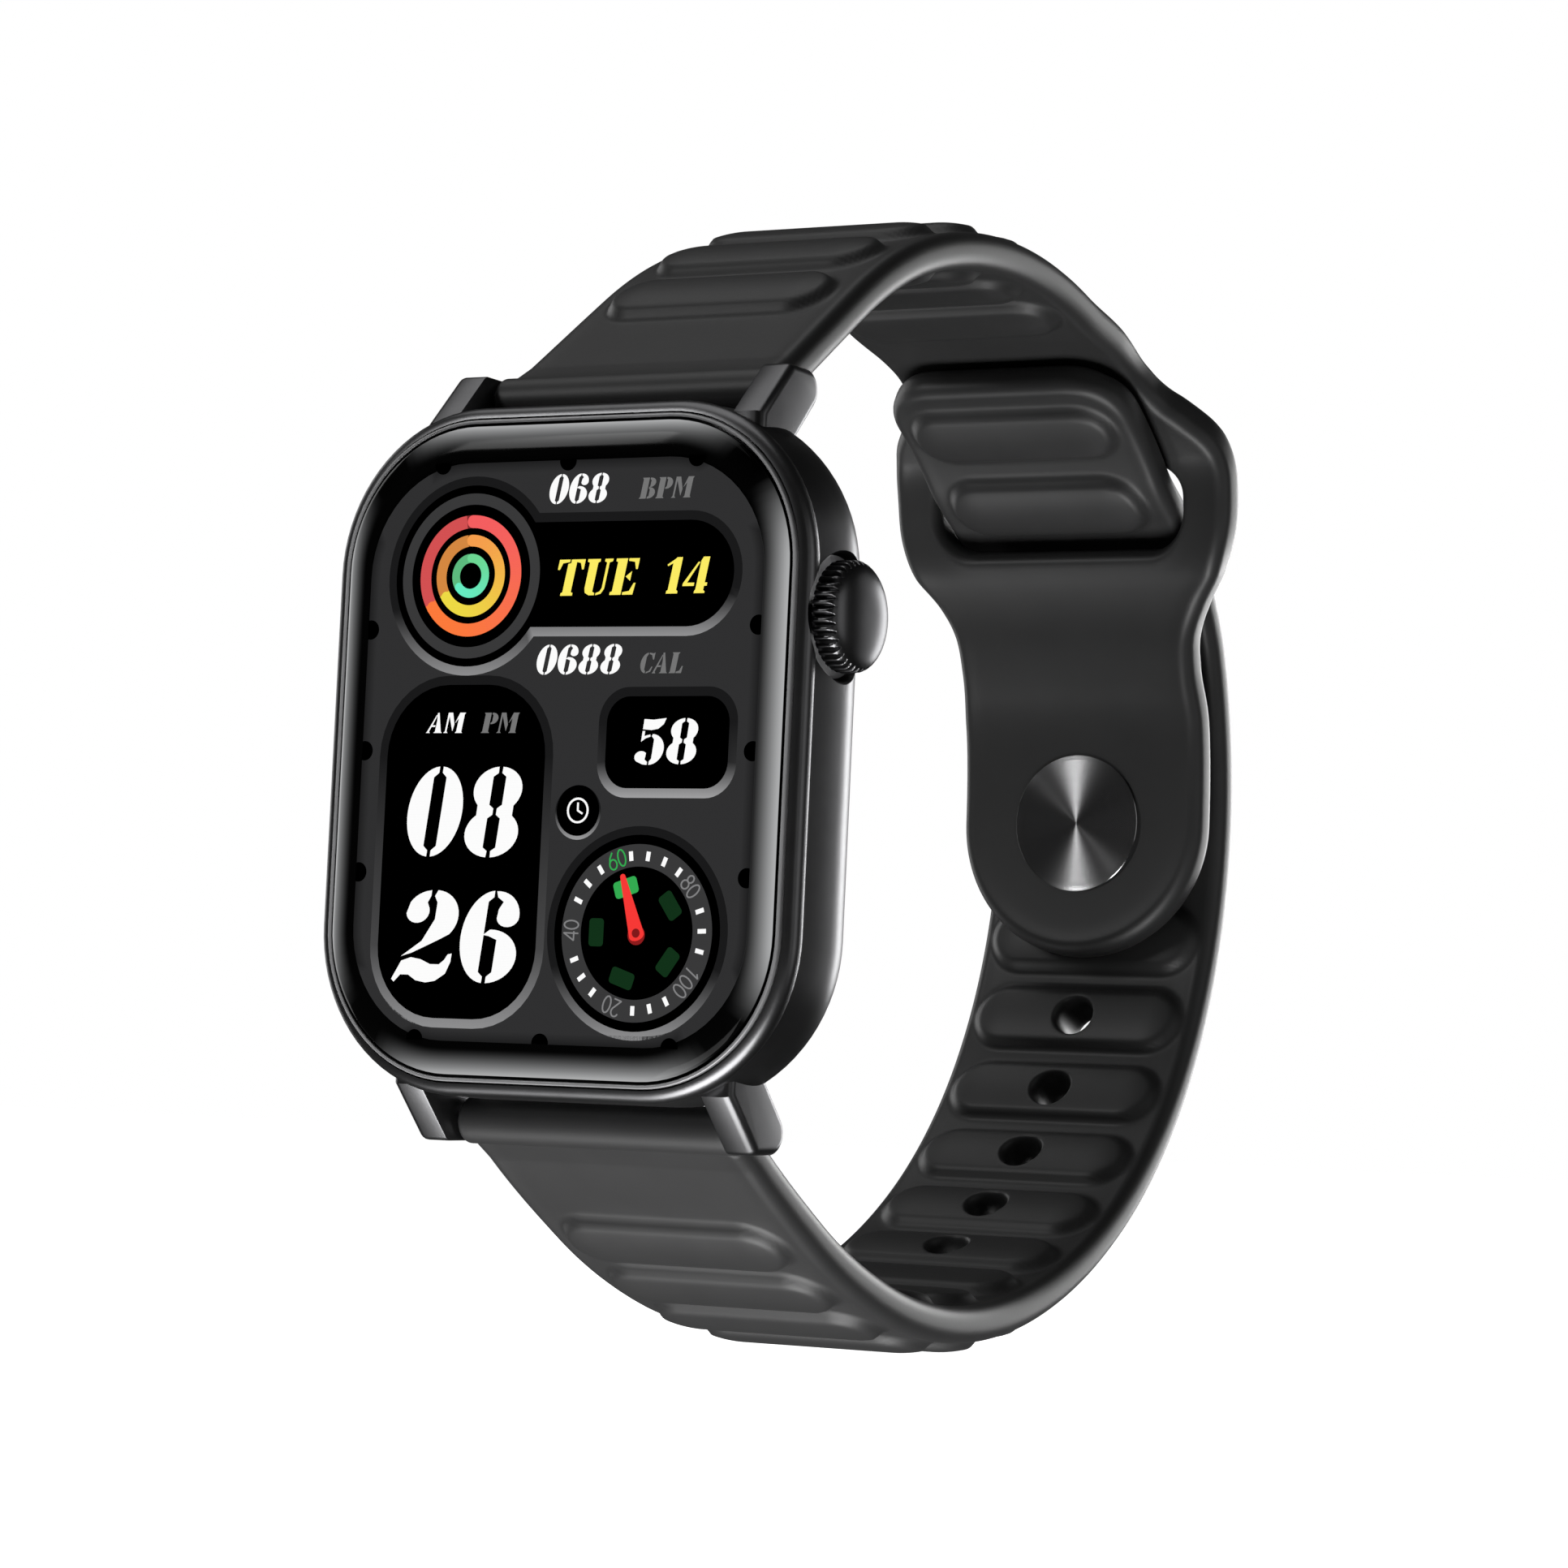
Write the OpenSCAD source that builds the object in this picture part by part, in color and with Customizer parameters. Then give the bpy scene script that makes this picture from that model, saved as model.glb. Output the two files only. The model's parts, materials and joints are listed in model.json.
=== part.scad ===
// Smartwatch with a turning and pressing crown, and a soft two-piece strap that is
// closed into a loop by a keeper slot, a tail and a stud.
//
// The origin is the centre of the strap loop, where the wrist goes. +X runs out
// through the crown, +Y from the display to the clasp, +Z towards twelve o'clock.
// The strap is drawn in polar form round that origin: angle 0 is the back of the
// loop, 90 degrees is its top and 180 degrees is the watch head.

/* [Watch head] */
// Width of the cover glass
glass_w = 34.9; // [34:0.1:36]
// Height of the cover glass
glass_h = 43.5; // [43:0.1:45]
// Corner radius of the cover glass
glass_r = 9.8; // [9:0.1:10.5]
// Distance from the loop's centre to the faces of the lug tips
head_y = 34; // [33.8:0.1:34.4]
// Height of the glass's middle over the faces of the lug tips
glass_top = 6.75; // [6.5:0.05:7]
// Gap between the lugs, which is the strap's nominal width
lug_gap = 22.3; // [22.1:0.1:22.6]
// Width of one lug
lug_w = 2.35; // [2:0.05:2.8]

/* [Crown] */
// Radius of the fluted crown
crown_r = 3.7; // [3.4:0.1:3.9]
// Height of the crown's axis over the case's middle
crown_z = 9.1; // [8:0.1:10]
// Number of flutes round the crown
flutes = 38; // [24:2:44]
// How far the crown presses in
crown_travel = 0.4; // [0.2:0.05:0.45]

/* [Strap] */
// Radius of the loop at the middle of the strap's thickness
loop_r = 38.15; // [38:0.05:38.4]
// Thickness of the strap
strap_t = 2.5; // [2.2:0.1:2.6]
// Half width of the strap at the lugs
strap_front = 11; // [10.6:0.1:11]
// Half width of the strap at the back of the loop
strap_back = 10.1; // [9.8:0.1:10.3]
// Height of the raised ribs over the strap's faces
rib_h = 0.9; // [0.4:0.1:1]
// Width of a rib, along the strap
rib_w = 6; // [4:0.1:6.4]
// Half length of a rib, across the strap
rib_half = 8.7; // [7:0.1:9]
// Radius of the size holes
hole_r = 1.6; // [1.55:0.05:2]

/* [Clasp] */
// Half width of the keeper, the wide part round the slot
keeper_half = 14.8; // [13.6:0.1:15]
// Half width of the slot in the keeper
slot_half = 11.1; // [10.8:0.1:11.3]
// Height of the slot along the strap
slot_h = 8.2; // [8:0.1:8.6]
// Radius of the tongue's round end
tongue_r = 10.7; // [10:0.1:11]
// Radius of the stud's disc
stud_r = 5.3; // [4.5:0.1:6]

/* [Hidden] */
$fn = 64;
eps = 0.02;

// Watch head, in its own lying frame: heights are over the lug tips' faces and
// grow towards the display.
corner_x = glass_w / 2 - glass_r;
corner_z = glass_h / 2 - glass_r;
rim_top = 5.9;
glass_seat = 4.75;
ledge_top = 4.6;
bezel_seat = 4.9;
body_bottom = -3.6;
cover_bottom = -5.05;
window_bottom = -6.2;
body_bulge = 1.65;
bulge_r = 5;
bulge_h = 0.8;
wall_in = -2.2;
window_r = 8;
screw_x = glass_w / 2 - 5.45;
screw_z = glass_h / 2 - 5.45;

// Spring bars and lugs
bar_y = -31.9;
bar_z = 24.7;
bar_r = 0.9;
bar_tip_r = 0.45;
lug_tip_z = 26.25;
lug_back_y = head_y - 4;

// Crown, along X
crown_y = -head_y - 1;
recess_x = glass_w / 2 + 0.45;
recess_r = crown_r + 0.45;
cap_x0 = recess_x + crown_travel + 0.2;
cap_x1 = cap_x0 + 1.55;
dome_h = 0.85;
stem_r = 1.1;
stem_gap = 0.05;
stem_x0 = 13.2;
tube_x0 = 14.6;
clip_x = 14.2;

// Strap
flex_a = 80.3;
flex_gap = 0.35;
end_a = 138;
rib_first = 124.4;
rib_pitch = 9.8;
hole_first = -14;
hole_pitch = 10.35;
hole_angles = [for (i = [0 : 5]) hole_first - i * hole_pitch];
tongue_t = 2.1;
tongue_mid = 35.05;
tongue_root_a = 22;
root_gap = 0.35;
stud_a = 1.1;
slot_a = 39.8;
tail_end_a = 64.5;
roll_r = 1.6;

function ease(t) = let(c = min(1, max(0, t))) c * c * (3 - 2 * c);
function polar(r, a) = [r * cos(a), r * sin(a)];
// The strap flares out of the circle to meet the spring bars.
function flare(a) = 1.2 * pow(max(0, abs(a) - 123) / 15.5, 2);
// Middle line of the upper strap: circle, keeper pushed out, tongue drawn in
function upper_mid(a) =
    loop_r + flare(a) + 0.9 * ease((72 - a) / 12)
    - (loop_r + 0.9 - tongue_mid) * ease((47 - a) / 14);
function upper_t(a) = strap_t - (strap_t - tongue_t) * ease((47 - a) / 14);
// Middle line of the lower strap: circle, out over the tongue, in through the slot
function lower_mid(a) =
    loop_r + flare(a) + 0.4 * ease((a + 75) / 45)
    - 0.75 * ease((a - 20) / 14) - 1.8 * ease((a - 33) / 13);
function steps(a0, a1, n) = [for (i = [0 : n]) a0 + (a1 - a0) * i / n];
function backwards(v) = [for (i = [len(v) - 1 : -1 : 0]) v[i]];

// ---------- shared shapes ----------

// Puts the lying head frame into the watch's frame.
module head() {
    translate([0, -head_y, 0]) rotate([90, 0, 0]) children();
}

// Turns a (y, z) outline into a slab that is centred on X.
module along_x(width) {
    rotate([90, 0, 90]) linear_extrude(height = width, center = true) children();
}

// A round bar along X from x0 to x1.
module bar_x(r, x0, x1) {
    translate([x0, 0, 0]) rotate([0, 90, 0]) cylinder(r = r, h = x1 - x0);
}

// Sweeps a profile round the glass outline: the profile's x is the distance
// outside that outline, and its y is the height.
module sweep_outline() {
    for (q = [[1, 1, 0], [-1, 1, 90], [-1, -1, 180], [1, -1, 270]])
        translate([q[0] * corner_x, q[1] * corner_z, 0])
            rotate([0, 0, q[2]])
                rotate_extrude(angle = 90) translate([glass_r, 0]) children();
    for (s = [0, 180]) rotate([0, 0, s]) {
        translate([glass_w / 2, corner_z, 0])
            rotate([90, 0, 0]) linear_extrude(height = 2 * corner_z) children();
        translate([-corner_x, glass_h / 2, 0])
            rotate([90, 0, 90]) linear_extrude(height = 2 * corner_x) children();
    }
}

// A plate with the glass's outline moved out by n, between two heights.
module plate(n, h0, h1) {
    r = glass_r + n;
    translate([0, 0, h0]) linear_extrude(height = h1 - h0) {
        square([glass_w + 2 * n, 2 * corner_z], center = true);
        square([2 * corner_x, glass_h + 2 * n], center = true);
        for (sx = [-1, 1], sz = [-1, 1])
            translate([sx * corner_x, sz * corner_z]) circle(r = r);
    }
}

// A ring of rectangular section round the glass outline.
module ring(n0, n1, h0, h1) {
    sweep_outline() translate([n0, h0]) square([n1 - n0, h1 - h0]);
}

// A box between two corners of the lying head frame.
module block(low, high) {
    translate(low) cube(high - low);
}

// ---------- watch head ----------

// Section of the case wall: glass ledge, bezel seat, front lip, step, bulged side
module wall_section() {
    front_lip = [for (t = [0 : 15 : 90]) [0.75 + 0.5 * sin(t), rim_top - 1.15 * (1 - cos(t))]];
    side = [for (t = [0 : 0.25 : 1]) [1 + 0.65 * sin(90 * t), 4.35 - (4.35 - bulge_h) * t]];
    back = [for (a = [10 : 10 : 60])
        [body_bulge - bulge_r + bulge_r * cos(a), bulge_h - bulge_r * sin(a)]];
    polygon(concat(
        [[wall_in, ledge_top], [0.05, ledge_top], [0.05, bezel_seat], [0.55, bezel_seat]],
        [[0.55, rim_top - 0.1], [0.65, rim_top]],
        front_lip,
        [[1, 4.5]],
        side, back,
        [[-0.98, body_bottom], [-1.2, body_bottom], [-1.2, body_bottom + 0.35]],
        [[-1.8, body_bottom + 0.35], [-1.8, body_bottom], [wall_in, body_bottom]]
    ));
}

// One lug at the upper right, sloping back from the case to its tip
module lug() {
    translate([lug_gap / 2 + lug_w / 2, 0, 0]) along_x(lug_w) {
        translate([bar_y, bar_z]) circle(r = lug_tip_z - bar_z);
        polygon([
            [-head_y - 3.6, 22.7], [-head_y, lug_tip_z], [bar_y, lug_tip_z],
            [bar_y + lug_tip_z - bar_z, bar_z], [-lug_back_y, 21.5],
            [-head_y + 1.5, 20.2], [-head_y - 3.6, 20.2]
        ]);
    }
}

// Bosses for the back screws, in the corners of the cavity
module bosses() {
    for (sx = [-1, 1], sz = [-1, 1]) translate([sx * screw_x, sz * screw_z, 0]) difference() {
        translate([0, 0, body_bottom + 0.05]) cylinder(r = 1.6, h = 4);
        translate([0, 0, body_bottom - 1]) cylinder(r = 0.52, h = 4.2);
    }
}

module case_body() {
    color("dimgray") difference() {
        union() {
            head() sweep_outline() wall_section();
            head() bosses();
            for (sx = [0, 1], sz = [0, 1]) mirror([sx, 0, 0]) mirror([0, 0, sz]) lug();
        }
        translate([0, crown_y, crown_z]) {
            bar_x(recess_r, recess_x, glass_w);
            bar_x(1.9, tube_x0 - 1, glass_w);
        }
        for (sz = [-1, 1]) translate([0, bar_y, sz * bar_z]) bar_x(0.5, -12.4, 12.4);
    }
}

module bezel_ring() {
    color("gray") head() sweep_outline() polygon([
        [0.1, bezel_seat], [0.5, bezel_seat], [0.5, rim_top - 0.1],
        [0.42, rim_top], [0.16, rim_top], [0.1, rim_top - 0.1]
    ]);
}

// Flat in the middle, with a rounded polished edge
module cover_glass() {
    edge = 2.2;
    fall = glass_top - 5.75;
    color("black") head() {
        sweep_outline() polygon(concat(
            [[-edge, glass_seat], [-0.15, glass_seat], [0, glass_seat + 0.15]],
            [for (a = [0 : 15 : 90]) [-edge + edge * cos(a), 5.75 + fall * sin(a)]]
        ));
        plate(-edge, glass_seat, glass_top);
    }
}

module glass_gasket() {
    color("black") head() ring(-2.1, -0.4, ledge_top, glass_seat);
}

module display_panel() {
    color("darkslategray") head() plate(wall_in - 0.25, 3.85, glass_seat);
}

module inner_frame() {
    color("silver") head() difference() {
        plate(wall_in - 0.3, 3.1, 3.8);
        translate([0, -4, 3]) linear_extrude(height = 1) square([12, 16], center = true);
    }
}

module battery() {
    color("silver") head() block([-13, -14, -0.9], [8, 7.8, 2.8]);
}

module main_board() {
    color("darkgreen") head() {
        difference() {
            plate(wall_in - 0.5, -2.4, -1.8);
            for (sx = [-1, 1], sz = [-1, 1])
                translate([sx * screw_x, sz * screw_z, -3]) cylinder(r = 2, h = 2);
        }
        block([-6, -6, -1.8], [2, 2, -1.1]);
        block([4, -13, -1.8], [7, -8, -1.2]);
    }
}

module vibration_motor() {
    color("gray") head() translate([-7, 12.4, -0.9]) {
        cylinder(r = 4, h = 2.6);
        translate([0, 0, 2.6]) cylinder(r = 1.2, h = 0.3);
    }
}

module speaker() {
    color("dimgray") head() block([8.8, -14, -0.9], [14.2, -3, 1.9]);
}

module sensor_board() {
    color("darkgreen") head() translate([0, 0, -3.2]) {
        cylinder(r = 8.6, h = 0.5);
        translate([0, 0, -0.35]) cylinder(r = 1.4, h = 0.35);
        for (sx = [-1, 1]) translate([sx * 4.5 - 0.8, -0.8, -0.35]) cube([1.6, 1.6, 0.35]);
    }
}

module back_gasket() {
    color("black") head() ring(-1.75, -1.25, body_bottom, body_bottom + 0.3);
}

module back_cover() {
    rim = 4;
    color("dimgray") head() difference() {
        union() {
            sweep_outline() polygon([
                [-rim, body_bottom], [-1, body_bottom], [-1.35, -4.1], [-2, -4.6],
                [-3, -4.95], [-rim, cover_bottom]
            ]);
            plate(-rim, cover_bottom, body_bottom);
        }
        translate([0, 0, -8]) cylinder(r = window_r, h = 8);
        for (sx = [-1, 1]) translate([sx * 1.9, -14, -8]) cylinder(r = 1, h = 8);
        for (sx = [-1, 1], sz = [-1, 1]) translate([sx * screw_x, sz * screw_z, -8]) {
            cylinder(r = 0.6, h = 8);
            cylinder(r = 1.15, h = 8 + cover_bottom + 0.75);
        }
    }
}

// Domed window with a flat middle, which rests on the charger
module sensor_window() {
    color("black") head() rotate_extrude() polygon([
        [0, window_bottom], [6, window_bottom], [7.2, -5.9], [window_r - 0.05, -5.3],
        [window_r - 0.05, body_bottom - 0.1], [0, body_bottom - 0.1]
    ]);
}

module charging_contacts() {
    color("gold") head() for (sx = [-1, 1])
        translate([sx * 1.9, -14, cover_bottom - 0.05]) cylinder(r = 0.98, h = 1.6);
}

module back_screws() {
    color("silver") head() for (sx = [-1, 1], sz = [-1, 1])
        translate([sx * screw_x, sz * screw_z, cover_bottom + 0.1]) difference() {
            union() {
                cylinder(r = 1.1, h = 0.6);
                cylinder(r = 0.5, h = 4);
            }
            translate([0, 0, -eps]) cylinder(r = 0.45, h = 0.4, $fn = 6);
        }
}

// ---------- crown ----------

module crown_tube() {
    color("silver") translate([0, crown_y, crown_z]) difference() {
        bar_x(1.88, tube_x0, recess_x);
        bar_x(stem_r + stem_gap, tube_x0 - 1, recess_x + 1);
    }
}

module push_switch() {
    color("dimgray") translate([0, crown_y, crown_z]) difference() {
        translate([9.6, -1.6, -2.2]) cube([2.7, 3.2, 4.4]);
        bar_x(0.88, 10.8, 13);
    }
}

module switch_plunger() {
    color("white") translate([0, crown_y, crown_z]) bar_x(0.8, 11.3, stem_x0 - 0.05);
}

module stem_clip() {
    color("silver") translate([0, crown_y, crown_z]) difference() {
        bar_x(1.85, clip_x, clip_x + 0.3);
        bar_x(0.88, clip_x - 1, clip_x + 1);
        translate([clip_x - 0.5, -0.7, 0]) cube([1.3, 1.4, 3]);
    }
}

// Fluted rim with a domed face
module crown_cap() {
    color("dimgray") translate([0, crown_y, crown_z]) rotate([0, 90, 0]) difference() {
        rotate_extrude() polygon(concat(
            [[stem_r, cap_x0], [crown_r - 0.2, cap_x0], [crown_r, cap_x0 + 0.2], [crown_r, cap_x1]],
            [for (a = [10 : 10 : 90]) [crown_r * cos(a), cap_x1 + dome_h * sin(a)]],
            [[0, cap_x1 - 0.4], [stem_r, cap_x1 - 0.4]]
        ));
        for (i = [0 : flutes - 1]) rotate([0, 0, i * 360 / flutes])
            translate([crown_r + 0.06, 0, cap_x0 - 1])
                cylinder(r = 0.2, h = cap_x1 - cap_x0 + 1.1, $fn = 16);
    }
}

module crown_stem() {
    color("silver") translate([0, crown_y, crown_z]) difference() {
        bar_x(stem_r, stem_x0, cap_x1 - 0.4);
        difference() {
            bar_x(stem_r + 1, clip_x - 0.05, clip_x + 0.35);
            bar_x(0.8, clip_x - 1, clip_x + 1);
        }
        difference() {
            bar_x(stem_r + 1, 16.4, 17);
            bar_x(0.7, 16, 17.4);
        }
    }
}

module crown_seal() {
    color("black") translate([16.7, crown_y, crown_z]) rotate([0, 90, 0])
        rotate_extrude() translate([0.92, 0]) circle(r = 0.21, $fn = 24);
}

// ---------- spring bars ----------

module spring_bar(sz) {
    color("silver") translate([0, bar_y, sz * bar_z]) {
        bar_x(bar_r, -10.8, 10.8);
        bar_x(bar_tip_r, -12.3, 12.3);
    }
}

module spring_bar_upper() {
    spring_bar(1);
}

module spring_bar_lower() {
    spring_bar(-1);
}

// ---------- strap ----------

// Plan of the strap, which narrows from the lugs to the back of the loop
module plan() {
    linear_extrude(height = 100, center = true) polygon([
        [-strap_front, -head_y - 2], [strap_front, -head_y - 2],
        [strap_back, 42], [-strap_back, 42]
    ]);
}

// Section of a strap along its length, between its outer and inner lines
module strip(outer, inner) {
    polygon(concat(outer, backwards(inner)));
}

module upper_strip(a0, a1, n) {
    strip(
        [for (a = steps(a0, a1, n)) polar(upper_mid(a) + upper_t(a) / 2, a)],
        [for (a = steps(a0, a1, n)) polar(upper_mid(a) - upper_t(a) / 2, a)]
    );
}

module lower_strip(a0, a1, n) {
    strip(
        [for (a = steps(a0, a1, n)) polar(lower_mid(a) + strap_t / 2, a)],
        [for (a = steps(a0, a1, n)) polar(lower_mid(a) - strap_t / 2, a)]
    );
}

// A stadium-shaped rib that stands out of both faces at angle a
module rib(a, mid) {
    reach = rib_half - rib_w / 2;
    depth = strap_t + 2 * rib_h;
    rotate([a, 0, 0]) translate([0, mid - depth / 2, 0]) rotate([-90, 0, 0]) {
        for (sx = [-1, 1]) translate([sx * reach, 0, 0]) cylinder(r = rib_w / 2, h = depth);
        translate([-reach, -rib_w / 2, 0]) cube([2 * reach, rib_w, depth]);
    }
}

// The strap's end, rolled round its spring bar, with the web that joins it to the
// first part of the band
module roll(s) {
    along_x(2 * strap_front - 0.1) {
        translate([bar_y, s * bar_z]) circle(r = roll_r);
        polygon([
            polar(loop_r + flare(end_a) - strap_t / 2, s * end_a),
            polar(loop_r + flare(end_a) + strap_t / 2, s * end_a),
            [bar_y - 0.9, s * (bar_z + 1.3)],
            [bar_y + 1.3, s * (bar_z - 0.9)]
        ]);
    }
}

module strap_upper() {
    color("darkslategray") difference() {
        union() {
            intersection() {
                along_x(2 * strap_front) upper_strip(flex_a + flex_gap / 2, end_a, 14);
                plan();
            }
            for (i = [0 : 4]) rib(rib_first - i * rib_pitch, loop_r);
            roll(1);
        }
        translate([0, bar_y, bar_z]) bar_x(bar_r + 0.05, -20, 20);
    }
}

module strap_lower() {
    color("darkslategray") difference() {
        union() {
            intersection() {
                along_x(2 * strap_front) lower_strip(-end_a, -flex_a - flex_gap / 2, 14);
                plan();
            }
            for (i = [0 : 4]) rib(-rib_first + i * rib_pitch, loop_r);
            roll(-1);
        }
        translate([0, bar_y, -bar_z]) bar_x(bar_r + 0.2, -20, 20);
    }
}

// Outline of the keeper seen along its own radius, x across and y up the strap
module keeper_plan() {
    low = -loop_r * sin(slot_a - tongue_root_a) - 0.5;
    polygon([
        [-strap_back - 0.4, low], [strap_back + 0.4, low], [strap_back + 0.4, -10.8],
        [keeper_half - 1.2, -7.6], [keeper_half, -4.6], [keeper_half, 3.4],
        [keeper_half - 1, 6.6], [strap_back + 0.4, 13], [strap_back + 0.15, 16],
        [strap_back + 0.15, 30], [-strap_back - 0.15, 30], [-strap_back - 0.15, 16],
        [-strap_back - 0.4, 13], [-keeper_half + 1, 6.6], [-keeper_half, 3.4],
        [-keeper_half, -4.6], [-keeper_half + 1.2, -7.6], [-strap_back - 0.4, -10.8]
    ]);
}

// The slot, with rounded corners
module slot_plan() {
    r = 2.6;
    x = slot_half - r;
    y = slot_h / 2 - r;
    square([2 * slot_half, 2 * y], center = true);
    square([2 * x, slot_h], center = true);
    for (sx = [-1, 1], sy = [-1, 1]) translate([sx * x, sy * y]) circle(r = r);
}

module strap_keeper() {
    color("darkslategray") {
        intersection() {
            along_x(2 * keeper_half + 1) upper_strip(tongue_root_a + root_gap, flex_a - flex_gap / 2, 24);
            rotate([slot_a, 0, 0]) translate([0, 50, 0]) rotate([90, 0, 0])
                linear_extrude(height = 60) difference() {
                    keeper_plan();
                    slot_plan();
                }
        }
        rib(rib_first - 5 * rib_pitch, loop_r);
    }
}

module strap_tongue() {
    neck = tongue_mid * sin(tongue_root_a - stud_a) + 1;
    color("darkslategray") difference() {
        intersection() {
            along_x(2 * tongue_r + 1) upper_strip(-20, tongue_root_a - root_gap, 14);
            rotate([stud_a, 0, 0]) translate([0, 50, 0]) rotate([90, 0, 0])
                linear_extrude(height = 40) {
                    circle(r = tongue_r);
                    translate([-tongue_r, 0]) square([2 * tongue_r, neck]);
                }
        }
        rotate([stud_a, 0, 0]) rotate([-90, 0, 0]) {
            cylinder(r = stud_r + 0.05, h = 34.1);
            cylinder(r = 1.4, h = 40);
        }
    }
}

// Disc on the wrist side, shank through the tongue, and a small head in the hole
module clasp_stud() {
    color("dimgray") rotate([stud_a, 0, 0]) rotate([-90, 0, 0]) {
        translate([0, 0, 33.35]) cylinder(r = stud_r, h = 0.75);
        translate([0, 0, 34]) cylinder(r = 1.35, h = 2.1);
        translate([0, 0, 36]) cylinder(r = 0.65, h = 2);
        translate([0, 0, 37.6]) cylinder(r = 0.95, h = 1);
    }
}

// Upper part of the lower strap: size holes, the stud's hole, and the tail that
// goes through the slot to the inside
module strap_tail() {
    color("darkslategray") difference() {
        union() {
            intersection() {
                along_x(2 * strap_front) lower_strip(-flex_a + flex_gap / 2, tail_end_a, 42);
                plan();
            }
            for (a = hole_angles) rib(a, lower_mid(a));
            rib(-rib_first + 5 * rib_pitch, loop_r);
        }
        for (a = concat([stud_a], hole_angles))
            rotate([a, 0, 0]) rotate([-90, 0, 0]) translate([0, 0, 30]) cylinder(r = hole_r, h = 14);
    }
}

case_body();
bezel_ring();
cover_glass();
glass_gasket();
display_panel();
inner_frame();
battery();
main_board();
vibration_motor();
speaker();
sensor_board();
back_gasket();
back_cover();
sensor_window();
charging_contacts();
back_screws();
crown_tube();
push_switch();
spring_bar_upper();
spring_bar_lower();
switch_plunger();
stem_clip();
crown_cap();
crown_stem();
crown_seal();
strap_upper();
strap_keeper();
strap_tail();
strap_lower();
strap_tongue();
clasp_stud();
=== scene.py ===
"""A smartwatch with a turning crown and a soft strap that is closed into a loop.

Lengths are written in millimetres and turned into metres when a mesh is made.
The watch's frame has +X out through the crown, +Y from the display to the clasp
and +Z towards twelve o'clock, with its origin at the centre of the strap loop.
"""

import json
import math

import bmesh
import bpy
import numpy as np
from mathutils import Matrix, Vector


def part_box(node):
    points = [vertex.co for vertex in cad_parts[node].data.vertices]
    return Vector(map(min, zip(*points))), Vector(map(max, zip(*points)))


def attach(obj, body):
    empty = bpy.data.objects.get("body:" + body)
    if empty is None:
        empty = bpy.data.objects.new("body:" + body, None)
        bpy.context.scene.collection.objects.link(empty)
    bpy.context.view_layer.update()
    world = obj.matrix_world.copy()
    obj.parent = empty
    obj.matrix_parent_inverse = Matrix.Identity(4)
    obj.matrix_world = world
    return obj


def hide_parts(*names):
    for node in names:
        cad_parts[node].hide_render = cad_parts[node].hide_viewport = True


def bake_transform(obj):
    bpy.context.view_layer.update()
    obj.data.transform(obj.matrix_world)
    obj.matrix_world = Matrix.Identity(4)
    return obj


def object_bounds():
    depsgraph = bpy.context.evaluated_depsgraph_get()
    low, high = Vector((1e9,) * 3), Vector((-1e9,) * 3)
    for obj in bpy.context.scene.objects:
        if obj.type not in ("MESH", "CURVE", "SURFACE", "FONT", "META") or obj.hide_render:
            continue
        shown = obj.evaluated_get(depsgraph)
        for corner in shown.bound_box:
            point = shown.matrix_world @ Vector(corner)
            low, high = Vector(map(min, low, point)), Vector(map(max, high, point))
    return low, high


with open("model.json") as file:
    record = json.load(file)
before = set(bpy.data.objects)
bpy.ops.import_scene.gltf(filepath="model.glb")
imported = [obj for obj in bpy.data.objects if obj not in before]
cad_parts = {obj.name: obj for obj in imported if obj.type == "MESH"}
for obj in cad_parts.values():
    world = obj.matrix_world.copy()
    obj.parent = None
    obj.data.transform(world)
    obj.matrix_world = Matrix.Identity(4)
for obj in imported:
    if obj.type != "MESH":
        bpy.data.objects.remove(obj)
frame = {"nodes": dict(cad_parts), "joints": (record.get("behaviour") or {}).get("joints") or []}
cad_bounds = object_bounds()

MM = 0.001

# ---------- sizes that the CAD model gives ----------


def node_size(name):
    """Lowest and highest corner of a CAD node, in millimetres."""
    low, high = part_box(name)
    return np.array(low) / MM, np.array(high) / MM


glass_low, glass_high = node_size("cover_glass")
GLASS_W = glass_high[0] - glass_low[0]
GLASS_H = glass_high[2] - glass_low[2]
GLASS_R = 9.8
# Heights on the watch head are over this distance in front of the origin
HEAD_Y = 34.0
GLASS_TOP = -glass_low[1] - HEAD_Y
FLAT_TOP = GLASS_TOP - 0.16
BEZEL_SEAT = 4.9
cap_low, cap_high = node_size("crown_cap")
CROWN_R = (cap_high[2] - cap_low[2]) / 2
CROWN_Y = (cap_high[1] + cap_low[1]) / 2
CROWN_Z = (cap_high[2] + cap_low[2]) / 2
CROWN_X0, CROWN_X1 = cap_low[0], cap_high[0]
bar_low, bar_high = node_size("spring_bar_upper")
BAR_Y = (bar_low[1] + bar_high[1]) / 2
BAR_Z = (bar_low[2] + bar_high[2]) / 2

# ---------- mesh helpers ----------


def add_object(name, data):
    """A new object in the scene, made from a mesh, a light or a camera."""
    made = bpy.data.objects.new(name, data)
    bpy.context.scene.collection.objects.link(made)
    return made


def smooth(mesh, angle):
    """Smooth shading, except across edges sharper than angle in degrees."""
    mesh.shade_smooth()
    mesh.set_sharp_from_angle(angle=math.radians(angle))


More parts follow.
